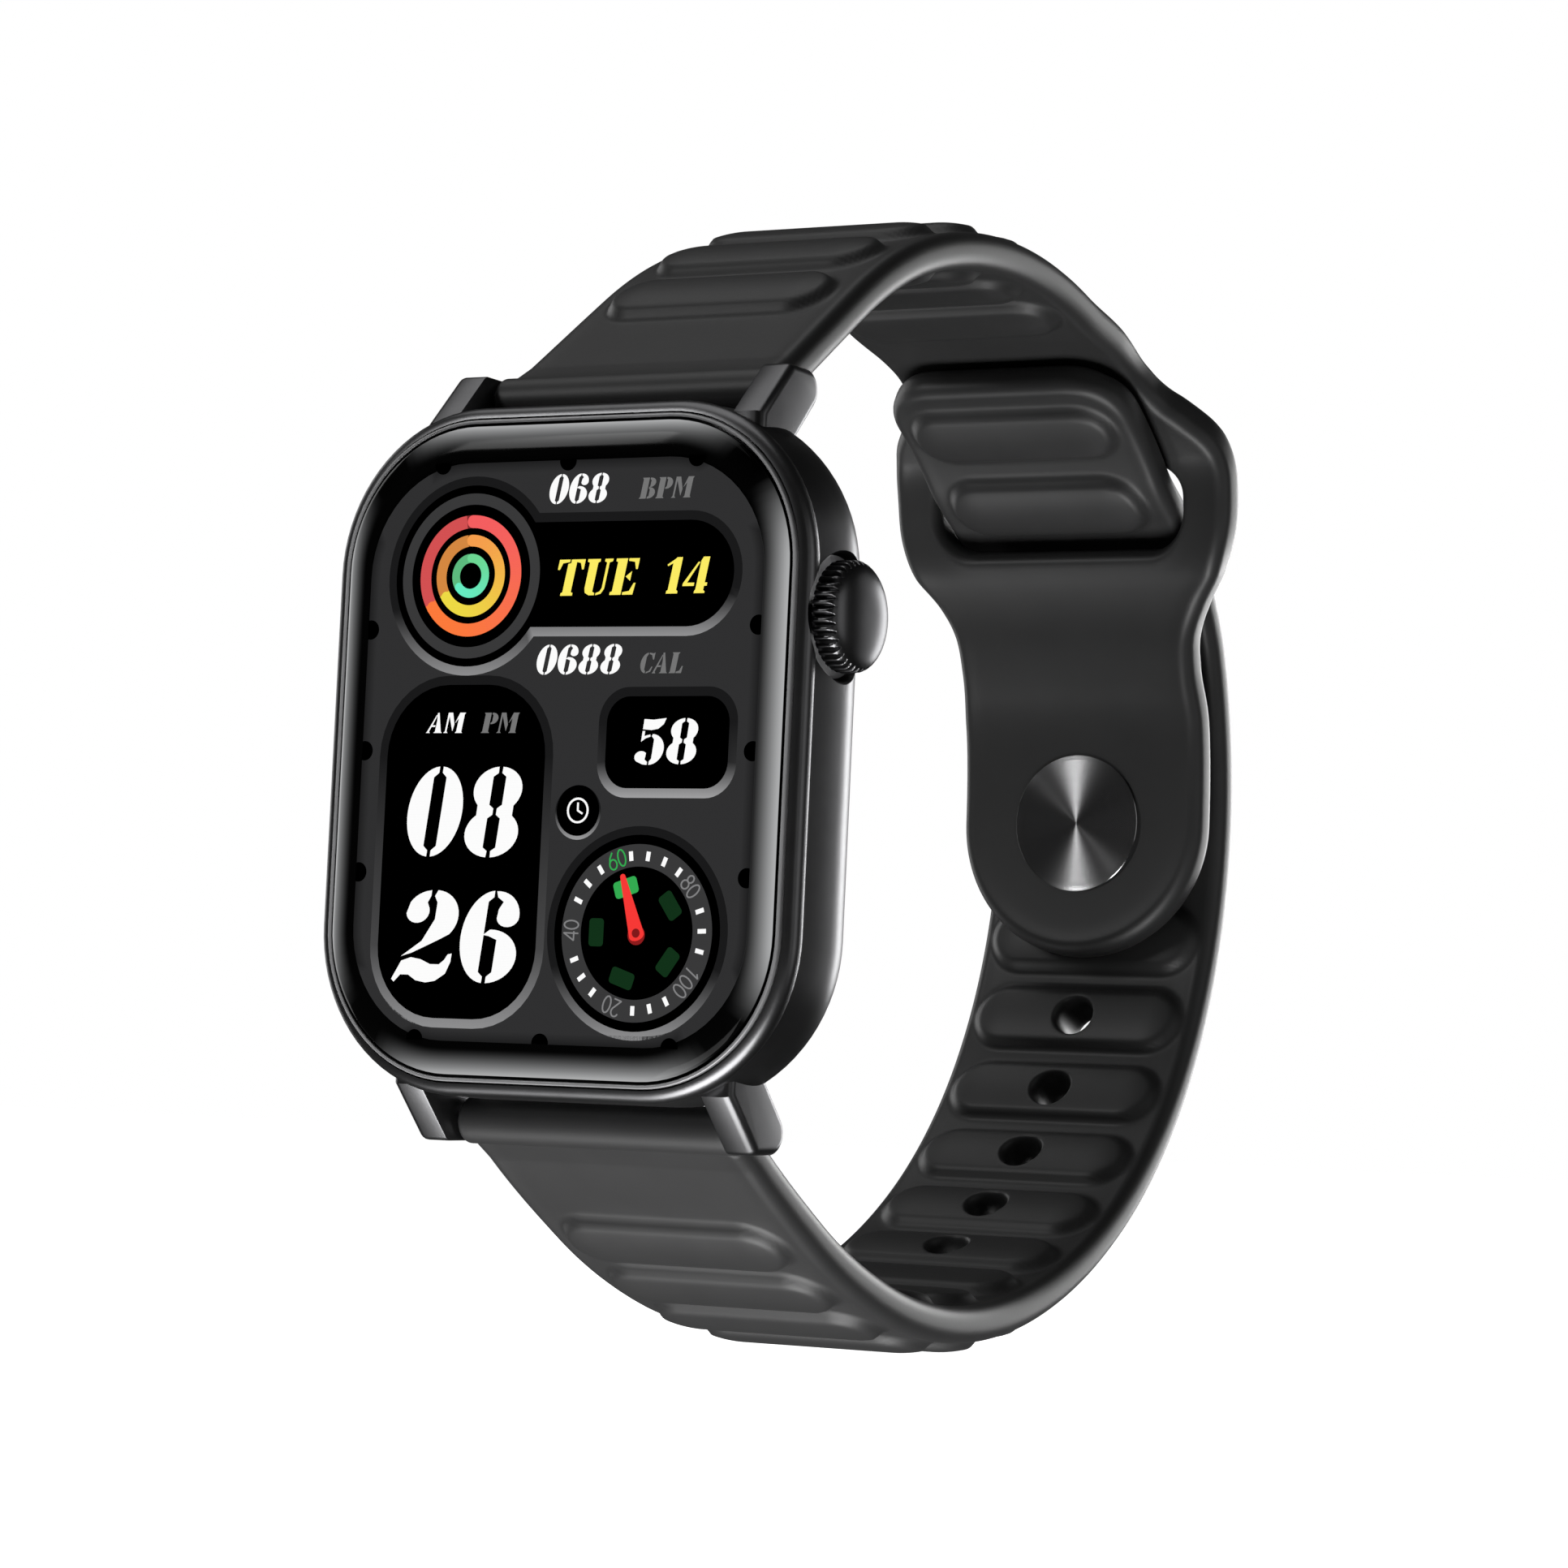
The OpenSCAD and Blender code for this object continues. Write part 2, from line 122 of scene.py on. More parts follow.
def new_mesh(name, points, faces, surfaces, body, slot, sharp_angle=35, face_surface=None):
    """A piece from points in millimetres, with face_surface as each face's place in surfaces."""
    mesh = bpy.data.meshes.new(name)
    mesh.from_pydata([tuple(p) for p in np.array(points, float) * MM], [], faces)
    for surface in surfaces:
        mesh.materials.append(surface)
    if face_surface is not None:
        mesh.polygons.foreach_set("material_index", face_surface)
    edit = bmesh.new()
    edit.from_mesh(mesh)
    bmesh.ops.recalc_face_normals(edit, faces=edit.faces)
    edit.to_mesh(mesh)
    edit.free()
    smooth(mesh, sharp_angle)
    piece = add_object(name, mesh)
    if body:
        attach(piece, body)
    return piece


def colour_points(piece, layer_name, values):
    """Stores one colour, of three or four numbers, at each point of a piece."""
    colours = np.ones((len(values), 4), np.float32)
    colours[:, :len(values[0])] = values
    layer = piece.data.color_attributes.new(layer_name, "FLOAT_COLOR", "POINT")
    layer.data.foreach_set("color", colours.ravel())


def arc(cx, cy, rx, ry, start, end, count):
    """Points on an ellipse from one angle to another, in degrees."""
    angles = np.radians(np.linspace(start, end, count + 1))
    return [(cx + rx * math.cos(a), cy + ry * math.sin(a)) for a in angles]


def bend(start, control, end, count):
    """Points on a curve from start to end that leans towards control."""
    p, q, r = (np.array(v, float) for v in (start, control, end))
    return [tuple((1 - t) ** 2 * p + 2 * t * (1 - t) * q + t * t * r) for t in np.linspace(0, 1, count)]


def corner_arcs(cx, cz, half_w, half_h, radius, count):
    """The four corners of a rounded rectangle, in the order of its outline."""
    x, z = half_w - radius, half_h - radius
    return [arc(cx + sx * x, cz + sz * z, radius, radius, turn, turn + 90, count)
            for sx, sz, turn in ((1, 1, 0), (-1, 1, 90), (-1, -1, 180), (1, -1, 270))]


def ease(t):
    """A smooth rise from 0 to 1 while t goes from 0 to 1."""
    c = np.clip(t, 0.0, 1.0)
    return c * c * (3 - 2 * c)


def loft_faces(rings, count, closed_rings):
    """Quads between rings of count points that follow one another."""
    faces = []
    for i in range(rings if closed_rings else rings - 1):
        a, b = i * count, ((i + 1) % rings) * count
        for j in range(count):
            k = (j + 1) % count
            faces.append((a + j, a + k, b + k, b + j))
    return faces


def lathe(profile, count, axis_x=None, axis_y=None, bump=None, closed=False):
    """Points and faces of a profile turned round an axis along X or Y.

    The profile holds (radius, along) pairs, and bump(radius, along, angle) adds to the
    radius. A closed profile makes a ring, and an open one a solid with flat ends.
    """
    points = []
    for radius, along in profile:
        for j in range(count):
            a = 2 * math.pi * j / count
            r = radius + (bump(radius, along, a) if bump else 0)
            if axis_x is not None:
                points.append((along, axis_x[0] + r * math.cos(a), axis_x[1] + r * math.sin(a)))
            else:
                points.append((axis_y[0] + r * math.cos(a), along, axis_y[1] + r * math.sin(a)))
    faces = loft_faces(len(profile), count, closed)
    if not closed:
        faces.append(tuple(range(count)))
        faces.append(tuple(range(len(points) - 1, len(points) - count - 1, -1)))
    return points, faces


def cut(piece, cutter):
    """Takes the cutter's volume away from the piece and removes the cutter."""
    modifier = piece.modifiers.new("cut", "BOOLEAN")
    modifier.object = cutter
    modifier.solver = "EXACT"
    bpy.context.view_layer.update()
    evaluated = piece.evaluated_get(bpy.context.evaluated_depsgraph_get())
    mesh = bpy.data.meshes.new_from_object(evaluated)
    piece.modifiers.clear()
    piece.data = mesh
    bpy.data.objects.remove(cutter)
    smooth(mesh, 32)


# ---------- watch head ----------


def outline(offset, per_corner=20, per_side=8):
    """The glass outline moved out by offset, as (x, z) points."""
    corners = corner_arcs(0, 0, GLASS_W / 2 + offset, GLASS_H / 2 + offset, GLASS_R + offset, per_corner)
    points = []
    for corner, following in zip(corners, corners[1:] + corners[:1]):
        side = np.linspace(corner[-1], following[0], per_side + 1)[1:-1]
        points += corner + [tuple(p) for p in side]
    return points


def swept(profile, closed=True):
    """Points and faces of a profile of (offset, height) swept round the outline.

    An open profile makes a solid with a flat back and front.
    """
    points = [(x, -HEAD_Y - height, z) for offset, height in profile for x, z in outline(offset)]
    count = len(points) // len(profile)
    faces = loft_faces(len(profile), count, closed)
    if not closed:
        faces.append(tuple(range(len(points) - count, len(points))))
        faces.append(tuple(range(count - 1, -1, -1)))
    return points, faces


def make_case():
    """Shell with a rounded front lip, a step below it, a barrel side and the crown's scoop."""
    ledge, back, wall = 4.6, -3.6, -2.2
    side, side_h = 1.2, 4.04
    bulge, bulge_h, bulge_r = 1.52, 0.8, 5.0
    profile = [(wall, ledge), (0.05, ledge), (0.05, BEZEL_SEAT), (0.59, BEZEL_SEAT), (0.59, 5.5)]
    profile += bend((0.6, 5.56), (1.3, 5.45), (1.41, 4.72), 14)
    profile += bend((1.41, 4.66), (1.42, 4.34), (1.27, 4.1), 8)
    profile += [(side + (bulge - side) * math.sin(math.pi / 2 * t), side_h - (side_h - bulge_h) * t)
                for t in np.linspace(0, 1, 14)]
    profile += [(bulge - bulge_r + bulge_r * math.cos(a), bulge_h - bulge_r * math.sin(a))
                for a in np.radians(np.linspace(5, 61.6, 14))]
    profile += [(wall, back)]
    case = new_mesh("case_shell", *swept(profile), [case_metal], None, "case_metal")

    floor_x, shoulder = 17.9, CROWN_R + 0.45
    scoop = [(0.01, floor_x), (shoulder - 0.35, floor_x)]
    scoop += [(shoulder + out, floor_x + rise)
              for out, rise in ((-0.1, 0.1), (0, 0.35), (0.06, 0.7), (0.22, 1.0), (0.6, 1.3), (1.2, 1.6))]
    points, faces = lathe(scoop, 96, axis_x=(CROWN_Y, CROWN_Z))
    cut(case, new_mesh("scoop", points, faces, [case_metal], None, None))
    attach(case, "watch_head")
    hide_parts("case_body")


def make_lugs():
    """Four bars that lean back over the spring bars, with rounded outer edges."""
    inner, outer, knuckle_r = 11.15, 13.5, 1.5
    front, middle, back = -37.6, -35.0, -34.05
    side = [(front, 22.5), (front, 19.0), (middle, 19.0)]
    side += arc(BAR_Y, BAR_Z, knuckle_r, knuckle_r, -42, 72, 12) + [(back, BAR_Z + knuckle_r)]
    built = bmesh.new()
    for mirror_x in (1, -1):
        for mirror_z in (1, -1):
            ends = [[built.verts.new(Vector((mirror_x * x, y, mirror_z * z)) * MM) for y, z in side]
                    for x in (inner, outer)]
            built.faces.new(ends[0])
            built.faces.new(ends[1])
            for k in range(len(side)):
                n = (k + 1) % len(side)
                built.faces.new((ends[0][k], ends[0][n], ends[1][n], ends[1][k]))
    bmesh.ops.recalc_face_normals(built, faces=built.faces)

    def bevel(chosen, size, steps):
        bmesh.ops.bevel(built, geom=chosen, offset=size * MM, offset_type="OFFSET", segments=steps,
                        profile=0.5, affect="EDGES", clamp_overlap=True)

    near = 0.01 * MM
    bevel([e for e in built.edges if abs(e.verts[0].co.x - e.verts[1].co.x) > 1 * MM
           and abs(e.verts[0].co.y - back * MM) < near], 0.3, 3)
    bevel([e for e in built.edges if min(abs(v.co.x) for v in e.verts) > outer * MM - near], 0.62, 6)
    bevel([e for e in built.edges if max(abs(v.co.x) for v in e.verts) < inner * MM + near], 0.12, 2)
    mesh = bpy.data.meshes.new("case_lugs")
    built.to_mesh(mesh)
    built.free()
    mesh.materials.append(case_metal)
    smooth(mesh, 30)
    lugs = add_object("case_lugs", mesh)
    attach(lugs, "watch_head")


def make_bezel():
    """Thin band with rounded edges round the glass. Its wall beside the glass is painted shade, black like
    a shadowed groove.
    """
    rim, low, high, edge = 5.8, 0.2, 0.47, 0.09
    profile = [(low, BEZEL_SEAT), (high, BEZEL_SEAT), (high, rim - edge)]
    profile += arc(high - edge, rim - edge, edge, edge, 0, 90, 4)
    profile += arc(low + edge, rim - edge, edge, edge, 90, 180, 4)
    points, faces = swept(profile)
    # Painted shade: the profile's last step, the inner wall, gets the black seal material
    painted_shade_from = len(faces) * (len(profile) - 1) // len(profile)
    ring = new_mesh("bezel_band", points, faces, [bezel_metal, black_seal_and_painted_shade], "watch_head",
                    "bezel_metal", face_surface=[int(i >= painted_shade_from) for i in range(len(faces))])
    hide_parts("bezel_ring")


def make_glass():
    """Cover glass: a flat display zone and an edge that curves away, with a painted highlight that glows
    along it.
    """
    edge, rim, seat, lit = 2.2, 5.75, 4.75, 1.75
    profile = [(-0.15, seat), (0.0, seat + 0.15), (0.0, rim)]
    profile += arc(-edge, rim, edge, FLAT_TOP - rim, 3, 90, 28) + [(-edge - 0.6, FLAT_TOP)]
    points, faces = swept(profile, closed=False)
    ring = len(points) // len(profile)
    flat_from, back_face = (len(profile) - 2) * ring, len(faces) - 1
    surfaces = [int(flat_from <= i < back_face) for i in range(len(faces))]
    glass = new_mesh("cover_glass_polished", points, faces, [glass_edge, glass_flat],
                     "watch_head", "cover_glass", 40, surfaces)
    cx, cz = GLASS_W / 2 - GLASS_R, GLASS_H / 2 - GLASS_R
    # Painted highlight: the edge glows lighter towards its rim along the straight sides and fades out at
    # the corners and on the flat zone, in place of reflected lamps
    painted_highlight = []
    for n, (x, _, z) in enumerate(points):
        turn = math.degrees(math.atan2(max(0, abs(z) - cz), max(1e-6, abs(x) - cx)))
        straight = ease((abs(turn - 45) - 8) / 36)
        inset, height = profile[n // ring]
        depth = 1 - min(1.0, max(0.0, -inset) / lit)
        light = straight * depth ** 2.0 if height > rim + 0.03 else 0.0
        painted_highlight.append((light, light, light, light))
    colour_points(glass, "painted_edge_highlight", painted_highlight)
    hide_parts("cover_glass")


def make_crown():
    """Fluted rim whose grooves run out on a smooth domed face."""
    teeth, depth, dome = 38, 0.36, 1.35
    start, end = CROWN_X0, CROWN_X1 - dome

    def flutes(radius, along, angle):
        wave = (0.5 - 0.5 * math.cos(teeth * angle)) ** 1.6
        floor = CROWN_R - depth * wave * ease((along - start) / 0.12)
        return min(0.0, floor - radius)

    profile = [(1.1, start), (CROWN_R - 0.35, start), (CROWN_R - 0.08, start + 0.06)]
    profile += [(CROWN_R, x) for x in [start + 0.16, *np.linspace(start + 0.3, end - 0.05, 6)]]
    profile += [(CROWN_R * math.cos(t) ** 0.86, end + dome * math.sin(t) ** 0.9)
                for t in np.radians(np.linspace(2, 89.6, 40))]
    points, faces = lathe(profile, teeth * 10, axis_x=(CROWN_Y, CROWN_Z), bump=flutes)
    crown = new_mesh("crown_cap_fluted", points, faces, [crown_metal], "crown", "case_metal", 50)
    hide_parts("crown_cap")


def make_stud():
    """Spun disc on the wrist side, its shank and the small head in the hole."""
    radius, face, disc_back, turned = 5.35, 33.35, 34.1, 0.12
    shank, neck, head, shoulder, head_start = 1.35, 0.65, 0.95, 36.05, 38.0
    spun = [(0.004, face + 0.02)]
    for i, r in enumerate(np.arange(turned, radius - 0.3, turned)):
        spun.append((r, face + 0.02 - 0.006 * (i % 2)))
    spun += [(radius - 0.05, face), (radius, face + 0.05), (radius - 0.45, disc_back), (shank, disc_back)]
    spun += [(shank, shoulder), (neck, shoulder), (neck, head_start - 0.1), (head, head_start)]
    spun += [(head, head_start + 0.6), (head - 0.15, head_start + 0.75)]
    points, faces = lathe(spun, 128, axis_y=(0, 0))
    turn = Matrix.Rotation(math.radians(STUD_A), 3, "X")
    points = [tuple(turn @ Vector(p)) for p in points]
    stud = new_mesh("clasp_stud_spun", points, faces, [stud_metal], "tongue", "stud_metal", 30)
    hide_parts("clasp_stud")


# ---------- display ----------

WHITE, GREY, YELLOW = (1.0, 1.0, 1.0), (0.18, 0.18, 0.18), (1.0, 0.86, 0.13)
PLATE, BLACK, DEEP = (0.030, 0.030, 0.031), (0.0, 0.0, 0.0), (0.0105, 0.0105, 0.011)
DIAL_GREY, MARK_GREY, LIGHT = (0.042, 0.042, 0.043), (0.23, 0.23, 0.235), (0.25, 0.25, 0.255)
GREEN, GREEN_OFF = (0.035, 0.42, 0.085), (0.006, 0.032, 0.010)
RED, RED_DARK, HUB_RED = (0.95, 0.042, 0.038), (0.27, 0.012, 0.013), (0.22, 0.010, 0.011)
# Step from one layer of plates to the next, and width of a recess's rim
LAYER, RIM = 0.03, 0.62


class Picture:
    """Thin coloured plates that lie on the display, one layer over another."""

    def __init__(self):
        self.points, self.faces, self.colours = [], [], []

    def plate(self, shape, layer, colour):
        """shape is an outline of (x, z); colour is one colour or one for each point."""
        count, start = len(shape), len(self.points)
        each = list(colour) if isinstance(colour[0], tuple) else [colour] * count
        top = FLAT_TOP + LAYER * layer
        for height in (top, FLAT_TOP + LAYER * (layer - 1) + 0.004):
            self.points += [(float(x), -HEAD_Y - height, float(z)) for x, z in shape]
        self.colours += each + each
        self.faces.append(tuple(range(start, start + count)))
        self.faces.append(tuple(range(start + 2 * count - 1, start + count - 1, -1)))
        for j in range(count):
            k = (j + 1) % count
            self.faces.append((start + j, start + k, start + count + k, start + count + j))

    def band(self, outer, inner, layer, shade):
        """A strip between two outlines, with shade(x, z) as its colour at each point."""
        for j in range(len(outer)):
            k = (j + 1) % len(outer)
            quad = [outer[j], outer[k], inner[k], inner[j]]
            self.plate(quad, layer, [shade(*corner) for corner in quad])

    def line(self, points, width, layer, colour):
        """A line of even width along points, as one plate for each stretch."""
        for (x0, z0), (x1, z1) in zip(points, points[1:]):
            length = math.hypot(x1 - x0, z1 - z0)
            nx, nz = -(z1 - z0) / length * width / 2, (x1 - x0) / length * width / 2
            ex, ez = nz * 0.35, -nx * 0.35
            corners = [(x0 + nx - ex, z0 + nz - ez), (x0 - nx - ex, z0 - nz - ez)]
            corners += [(x1 - nx + ex, z1 - nz + ez), (x1 + nx + ex, z1 + nz + ez)]
            self.plate(corners, layer, colour)

    def recess(self, outer, inner, shade):
        """An inset panel: a shaded rim round a black floor."""
        self.band(outer, inner, 2, shade)
        self.plate(inner, 2, BLACK)

    def window(self, cx, cz, half_w, half_h, outer_r, inner_r):
        """A recess with round corners."""
        outer = round_box(cx, cz, half_w + RIM, half_h + RIM, outer_r)
        self.recess(outer, round_box(cx, cz, half_w, half_h, inner_r), inset_shade(cz, half_h))

    def finish(self, name, surface):
        """Makes all the plates into one piece."""
        piece = new_mesh(name, self.points, self.faces, [surface], "watch_head", "display", 20)
        colour_points(piece, "pixel_colour", self.colours)


def inset_shade(middle, reach):
    """Colours of a recess's rim, which is dark above its middle and light below."""

    def shade(_, z):
        light = max(0.0, ((middle - z) / reach - 0.35) / 0.65) ** 1.4
        return tuple(d + (b - d) * light for d, b in zip(DEEP, LIGHT))

    return shade


def round_box(cx, cz, half_w, half_h, radius, count=10):
    """Outline of a rectangle with round corners."""
    return sum(corner_arcs(cx, cz, half_w, half_h, radius, count), [])


def disc(cx, cz, radius, count=64):
    """Outline of a disc."""
    return arc(cx, cz, radius, radius, 0, 360 - 360 / count, count - 1)


def ring_sector(cx, cz, inner, outer, start, end, count):
    """Outline of part of a ring; angles run clockwise from twelve o'clock, in degrees."""
    there = arc(cx, cz, outer, outer, 90 - start, 90 - end, count)
    return there + arc(cx, cz, inner, inner, 90 - end, 90 - start, count)


def around(cx, cz, radius, angle):
    """The point at a radius and a clockwise angle from twelve o'clock, in degrees."""
    a = math.radians(90 - angle)
    return cx + radius * math.cos(a), cz + radius * math.sin(a)


def pen(path):
    """Points of an outline written as "x,z x,z x,z"."""
    return [tuple(float(value) for value in point.split(",")) for point in path.split()]


def stencil_figures():
    """Outlines and width of each stencil figure and letter, in hundredths of its height."""
    slit, stem = 2.2, 7.5

    def both_halves(left, middle):
        return [left, [(2 * middle - x, z) for x, z in reversed(left)]]

    def right_bowl(z, rx, rz):
        return arc(36, z, rx, rz, 90, -90, 8)

    oval = arc(32, 50, 32, 50, 94, 266, 22)
    oval += [(32 - slit, 7), (32 - stem, 12), (32 - stem, 88), (32 - slit, 93)]
    eight = arc(33, 74.5, 28, 25.5, 95, 222, 14) + arc(33, 26.5, 31, 26.5, 132, 265, 14)
    for low, high in ((7, 47), (54, 93)):
        eight += [(33 - slit, low), (33 - stem, low + 4), (33 - stem, high - 4), (33 - slit, high)]
    six_bowl = [(32 + slit, 7)] + arc(32, 29, 31, 29, 274, 452, 20)
    six_bowl += [(24, 52), (30, 51), (32 + stem, 47), (32 + stem, 12)]
    six_hook = arc(34, 72, 26, 27.5, 94, 0, 10) + arc(48, 72, 12, 11, 0, -170, 10)
    six_hook += [(37, 80), (41, 88), (32 + slit, 93)]
    two_ball = [(30 - slit, 99.5)] + arc(30, 73, 27, 26.2, 96, 150, 6)
    two_ball += arc(16, 76, 12.5, 12.5, 190, 395, 14) + [(25, 86), (30 - slit, 93)]
    two_stroke = [(30 + slit, 93)] + pen("36,86 36,68 25,44 5,27 16,31 42,45")
    two_stroke += arc(33, 71, 28, 28.5, -42, 86, 14)
    two_base = pen("-2,2 6,22 16,26 27,24 38,19 48,19 53,24 56,30 60,31")
    two_base += pen("60,22 56,9 46,1 36,-1 25,1 16,7 7,7 1,-1")
    five_bowl = [(33, 65.5)] + arc(31, 32, 29, 33.5, 80, -86, 18) + pen("33,6 37,12 37,54 31,61")
    five_ball = arc(14, 16, 13, 12.5, 40, 255, 14) + pen("20,-0.5 29,-1.5 29,5 23,10")
    figures = {
        "0": (both_halves(oval, 32), 64),
        "8": (both_halves(eight, 33), 66),
        "6": ([oval, six_bowl, six_hook], 64),
        "2": ([two_ball, two_stroke, two_base], 62),
        "5": ([pen("10,98 30,96.5 56,100 52,87 42,77 28,74 10,76"),
               pen("10,72 15,72 15,61 27,64.5 28,60 18,56 10,49"), five_bowl, five_ball], 60),
        "B": ([pen("0,0 5,8 5,92 0,100 28,100 28,0"), pen("33,93 33,100") + right_bowl(77, 22, 23)
               + right_bowl(27, 26, 27) + pen("33,0 33,7 39,12 39,42 33,50 38,60 38,88")], 64),
        "P": ([pen("0,0 5,8 5,92 0,100 28,100 28,8 34,0"),
               pen("33,93 33,100") + right_bowl(72, 24, 28) + pen("33,44 33,50 38,56 38,88")], 60),
        "C": ([arc(30, 50, 30, 50, 96, 264, 14) + pen("27,8 21,20 21,80 27,92"),
               pen("32,100 50,96 56,100 56,66 52,66 44,88 32,93"),
               pen("32,0 32,7 44,12 52,32 56,32 50,8")], 60),
    }
    straight = {
        "1": (44, "14,0 14,7 17,10 17,84 6,76 4,80 20,95 24,100 36,100 36,10 40,6 40,0"),
        "4": (60, "0,20 0,27 26,86 30,86 9,29 26,29 26,20",
              "30,0 30,6 32,10 32,90 36,100 50,100 50,29 56,29 56,20 50,20 50,8 54,5 54,0"),
        "T": (68, "0,72 0,100 27,100 27,93 10,90 5,72",
              "20,0 20,7 24,10 24,88 31,90 31,100 66,100 66,72 62,72 56,90 45,93 45,10 50,7 50,0"),
        "U": (68, "0,93 0,100 32,100 32,93 27,90 27,10 33,6 33,0 20,0 9,7 6,20 6,90",
              "37,0 37,6 46,10 50,20 50,90 44,93 44,100 64,100 64,93 56,90 56,18 50,4"),
        "E": (62, "0,0 0,7 5,10 5,90 0,93 0,100 28,100 28,0", "32,93 32,100 58,100 58,70 54,70 48,90",
              "32,50 45,64 45,38", "32,0 32,7 48,10 56,32 60,32 58,0"),
        "M": (84, "0,0 6,8 6,100 24,100 40,42 37,10 12,86 12,8 18,0",
              "43,50 56,100 80,100 76,92 76,8 80,0 50,0 55,8 55,74"),
        "A": (64, "-6,0 -2,7 26,90 28,86 15,38 28,38 28,30 12,30 5,7 10,0",
              "28,98 34,100 56,8 62,0 26,0 32,7 32,60"),
        "L": (58, "0,0 5,8 5,92 0,100 34,100 28,92 28,0", "32,0 32,7 46,12 53,34 57,34 55,0"),
    }
    for letter, (width, *paths) in straight.items():
        figures[letter] = ([pen(path) for path in paths], width)
    return figures


def write(picture, word, x, z, height, width, colour, slant=0.20):
    """A stencil word whose box starts at (x, z) and is width wide, slanting to the right."""
    figures, gap = stencil_figures(), 5
    total = sum(figures[letter][1] for letter in word) + gap * (len(word) - 1)
    stretch = (width - slant * height) / total
    for letter in word:
        parts, advance = figures[letter]
        for part in parts:
            raised = [(px, pz / 100 * height) for px, pz in part]
            picture.plate([(x + px * stretch + slant * up, z + up) for px, up in raised], 3, colour)
        x += (advance + gap) * stretch


def thin_number(picture, number, cx, cz, height, turn, colour):
    """A small number in thin lines, centred at (cx, cz) and turned clockwise by degrees."""
    shapes = {
        "0": [arc(0.25, 0.5, 0.25, 0.5, 0, 360, 16)],
        "6": [arc(0.25, 0.3, 0.25, 0.3, 0, 360, 14), [(0.02, 0.4), (0.12, 0.72), (0.34, 1.0)]],
        "8": [arc(0.25, 0.27, 0.25, 0.27, 0, 360, 14), arc(0.25, 0.76, 0.2, 0.24, 0, 360, 12)],
        "4": [[(0.42, 0), (0.42, 1), (0.0, 0.3), (0.52, 0.3)]],
        "2": [arc(0.25, 0.73, 0.24, 0.27, 165, -35, 9) + [(0.02, 0.0), (0.5, 0.0)]],
        "1": [[(0.1, 0.8), (0.28, 1.0), (0.28, 0.0)]],
    }
    pitch, digit_width = 0.66, 0.5
    across = pitch * len(number) - (pitch - digit_width)
    c, s = math.cos(math.radians(turn)), math.sin(math.radians(turn))
    for i, digit in enumerate(number):
        for line in shapes[digit]:
            flat = [((px + i * pitch - across / 2) * height, (pz - 0.5) * height) for px, pz in line]
            picture.line([(cx + c * u + s * v, cz - s * u + c * v) for u, v in flat], 0.1, 4, colour)


def progress_ring(picture, cx, cz, inner, outer, sweep, first, last):
    """A closed dim track with a bright round-ended stretch on it that changes colour."""
    mid, half = (inner + outer) / 2, (outer - inner) / 2
    pieces = 48
    for i in range(pieces):
        start, end = 360 * i / pieces, 360 * (i + 1) / pieces
        mix = ease(min(1.0, start / sweep) * 1.1)
        bright = tuple(p + (q - p) * mix for p, q in zip(first, last))
        colour = bright if start < sweep else tuple(0.72 * p for p in first)
        if i == pieces - 1:
            colour = tuple(0.35 * v for v in colour)
        picture.plate(ring_sector(cx, cz, inner, outer, start, end, 3), 4, colour)
    for angle, colour in ((0, first), (sweep, last)):
        picture.plate(disc(*around(cx, cz, mid, angle), half, 24), 5, colour)


def grey_track(picture, cx, cz, inner, outer):
    """A closed grey ring."""
    step = 7.5
    for i in range(48):
        picture.plate(ring_sector(cx, cz, inner, outer, i * step, i * step + step, 2), 3, DIAL_GREY)


def make_back_plate(picture):
    """The grey plate behind everything, with a darker border and small bites along its edge."""
    cx, cz, half_w, half_h, radius, border = 0.45, -0.2, 15.6, 19.35, 7.6, 0.75
    bite_r, bite_x, bite_z = 0.66, 10.1, 8.2
    plate = round_box(cx, cz, half_w, half_h, radius, 14)
    picture.plate(plate, 1, PLATE)

    def shade(x, z):
        inside = abs(x - cx) < half_w - 0.5 and abs(z - cz) < half_h - 0.5
        return PLATE if inside else tuple(0.45 * v for v in PLATE)

    inner = round_box(cx, cz, half_w - border, half_h - border, radius - 0.7, 14)
    picture.band(plate, inner, 2, shade)
    for side in (-1, 1):
        for step in (-1, 0, 1):
            for x, z in ((side * (half_w - 0.2), step * bite_z), (step * bite_x, side * (half_h - 0.05))):
                bite = [(cx + max(-half_w, min(half_w, p)), cz + max(-half_h, min(half_h, q)))
                        for p, q in disc(x, z, bite_r, 24)]
                picture.plate(bite, 3, BLACK)


def make_ring_dial(picture):
    """Three progress rings in a dial, and the pill-shaped date window that the dial overlaps."""
    cx, cz, dial_r = -6.95, 11.55, 6.1
    pill_x0, pill_x1, pill_z, pill_r = -2.0, 10.3, 11.45, 3.5

    def keyhole(dial, pill):
        meet = math.degrees(math.asin(pill / dial))
        return arc(cx, cz, dial, dial, meet, 360 - meet, 56) + arc(pill_x1, pill_z, pill, pill, -90, 90, 24)

    def shade(x, z):
        return (inset_shade(cz, 6.4) if x < pill_x0 else inset_shade(pill_z, pill_r + 0.3))(x, z)

    picture.recess(keyhole(dial_r + 0.6, pill_r + RIM), keyhole(dial_r, pill_r), shade)
    grey_track(picture, cx, cz, 4.8, 5.55)
    progress_ring(picture, cx, cz, 3.22, 4.08, 234.5, (0.93, 0.115, 0.12), (1.0, 0.20, 0.045))
    progress_ring(picture, cx, cz, 1.98, 2.76, 233, (0.94, 0.35, 0.075), (0.87, 0.72, 0.06))
    progress_ring(picture, cx, cz, 0.88, 1.48, 230, (0.155, 0.70, 0.30), (0.135, 0.86, 0.55))


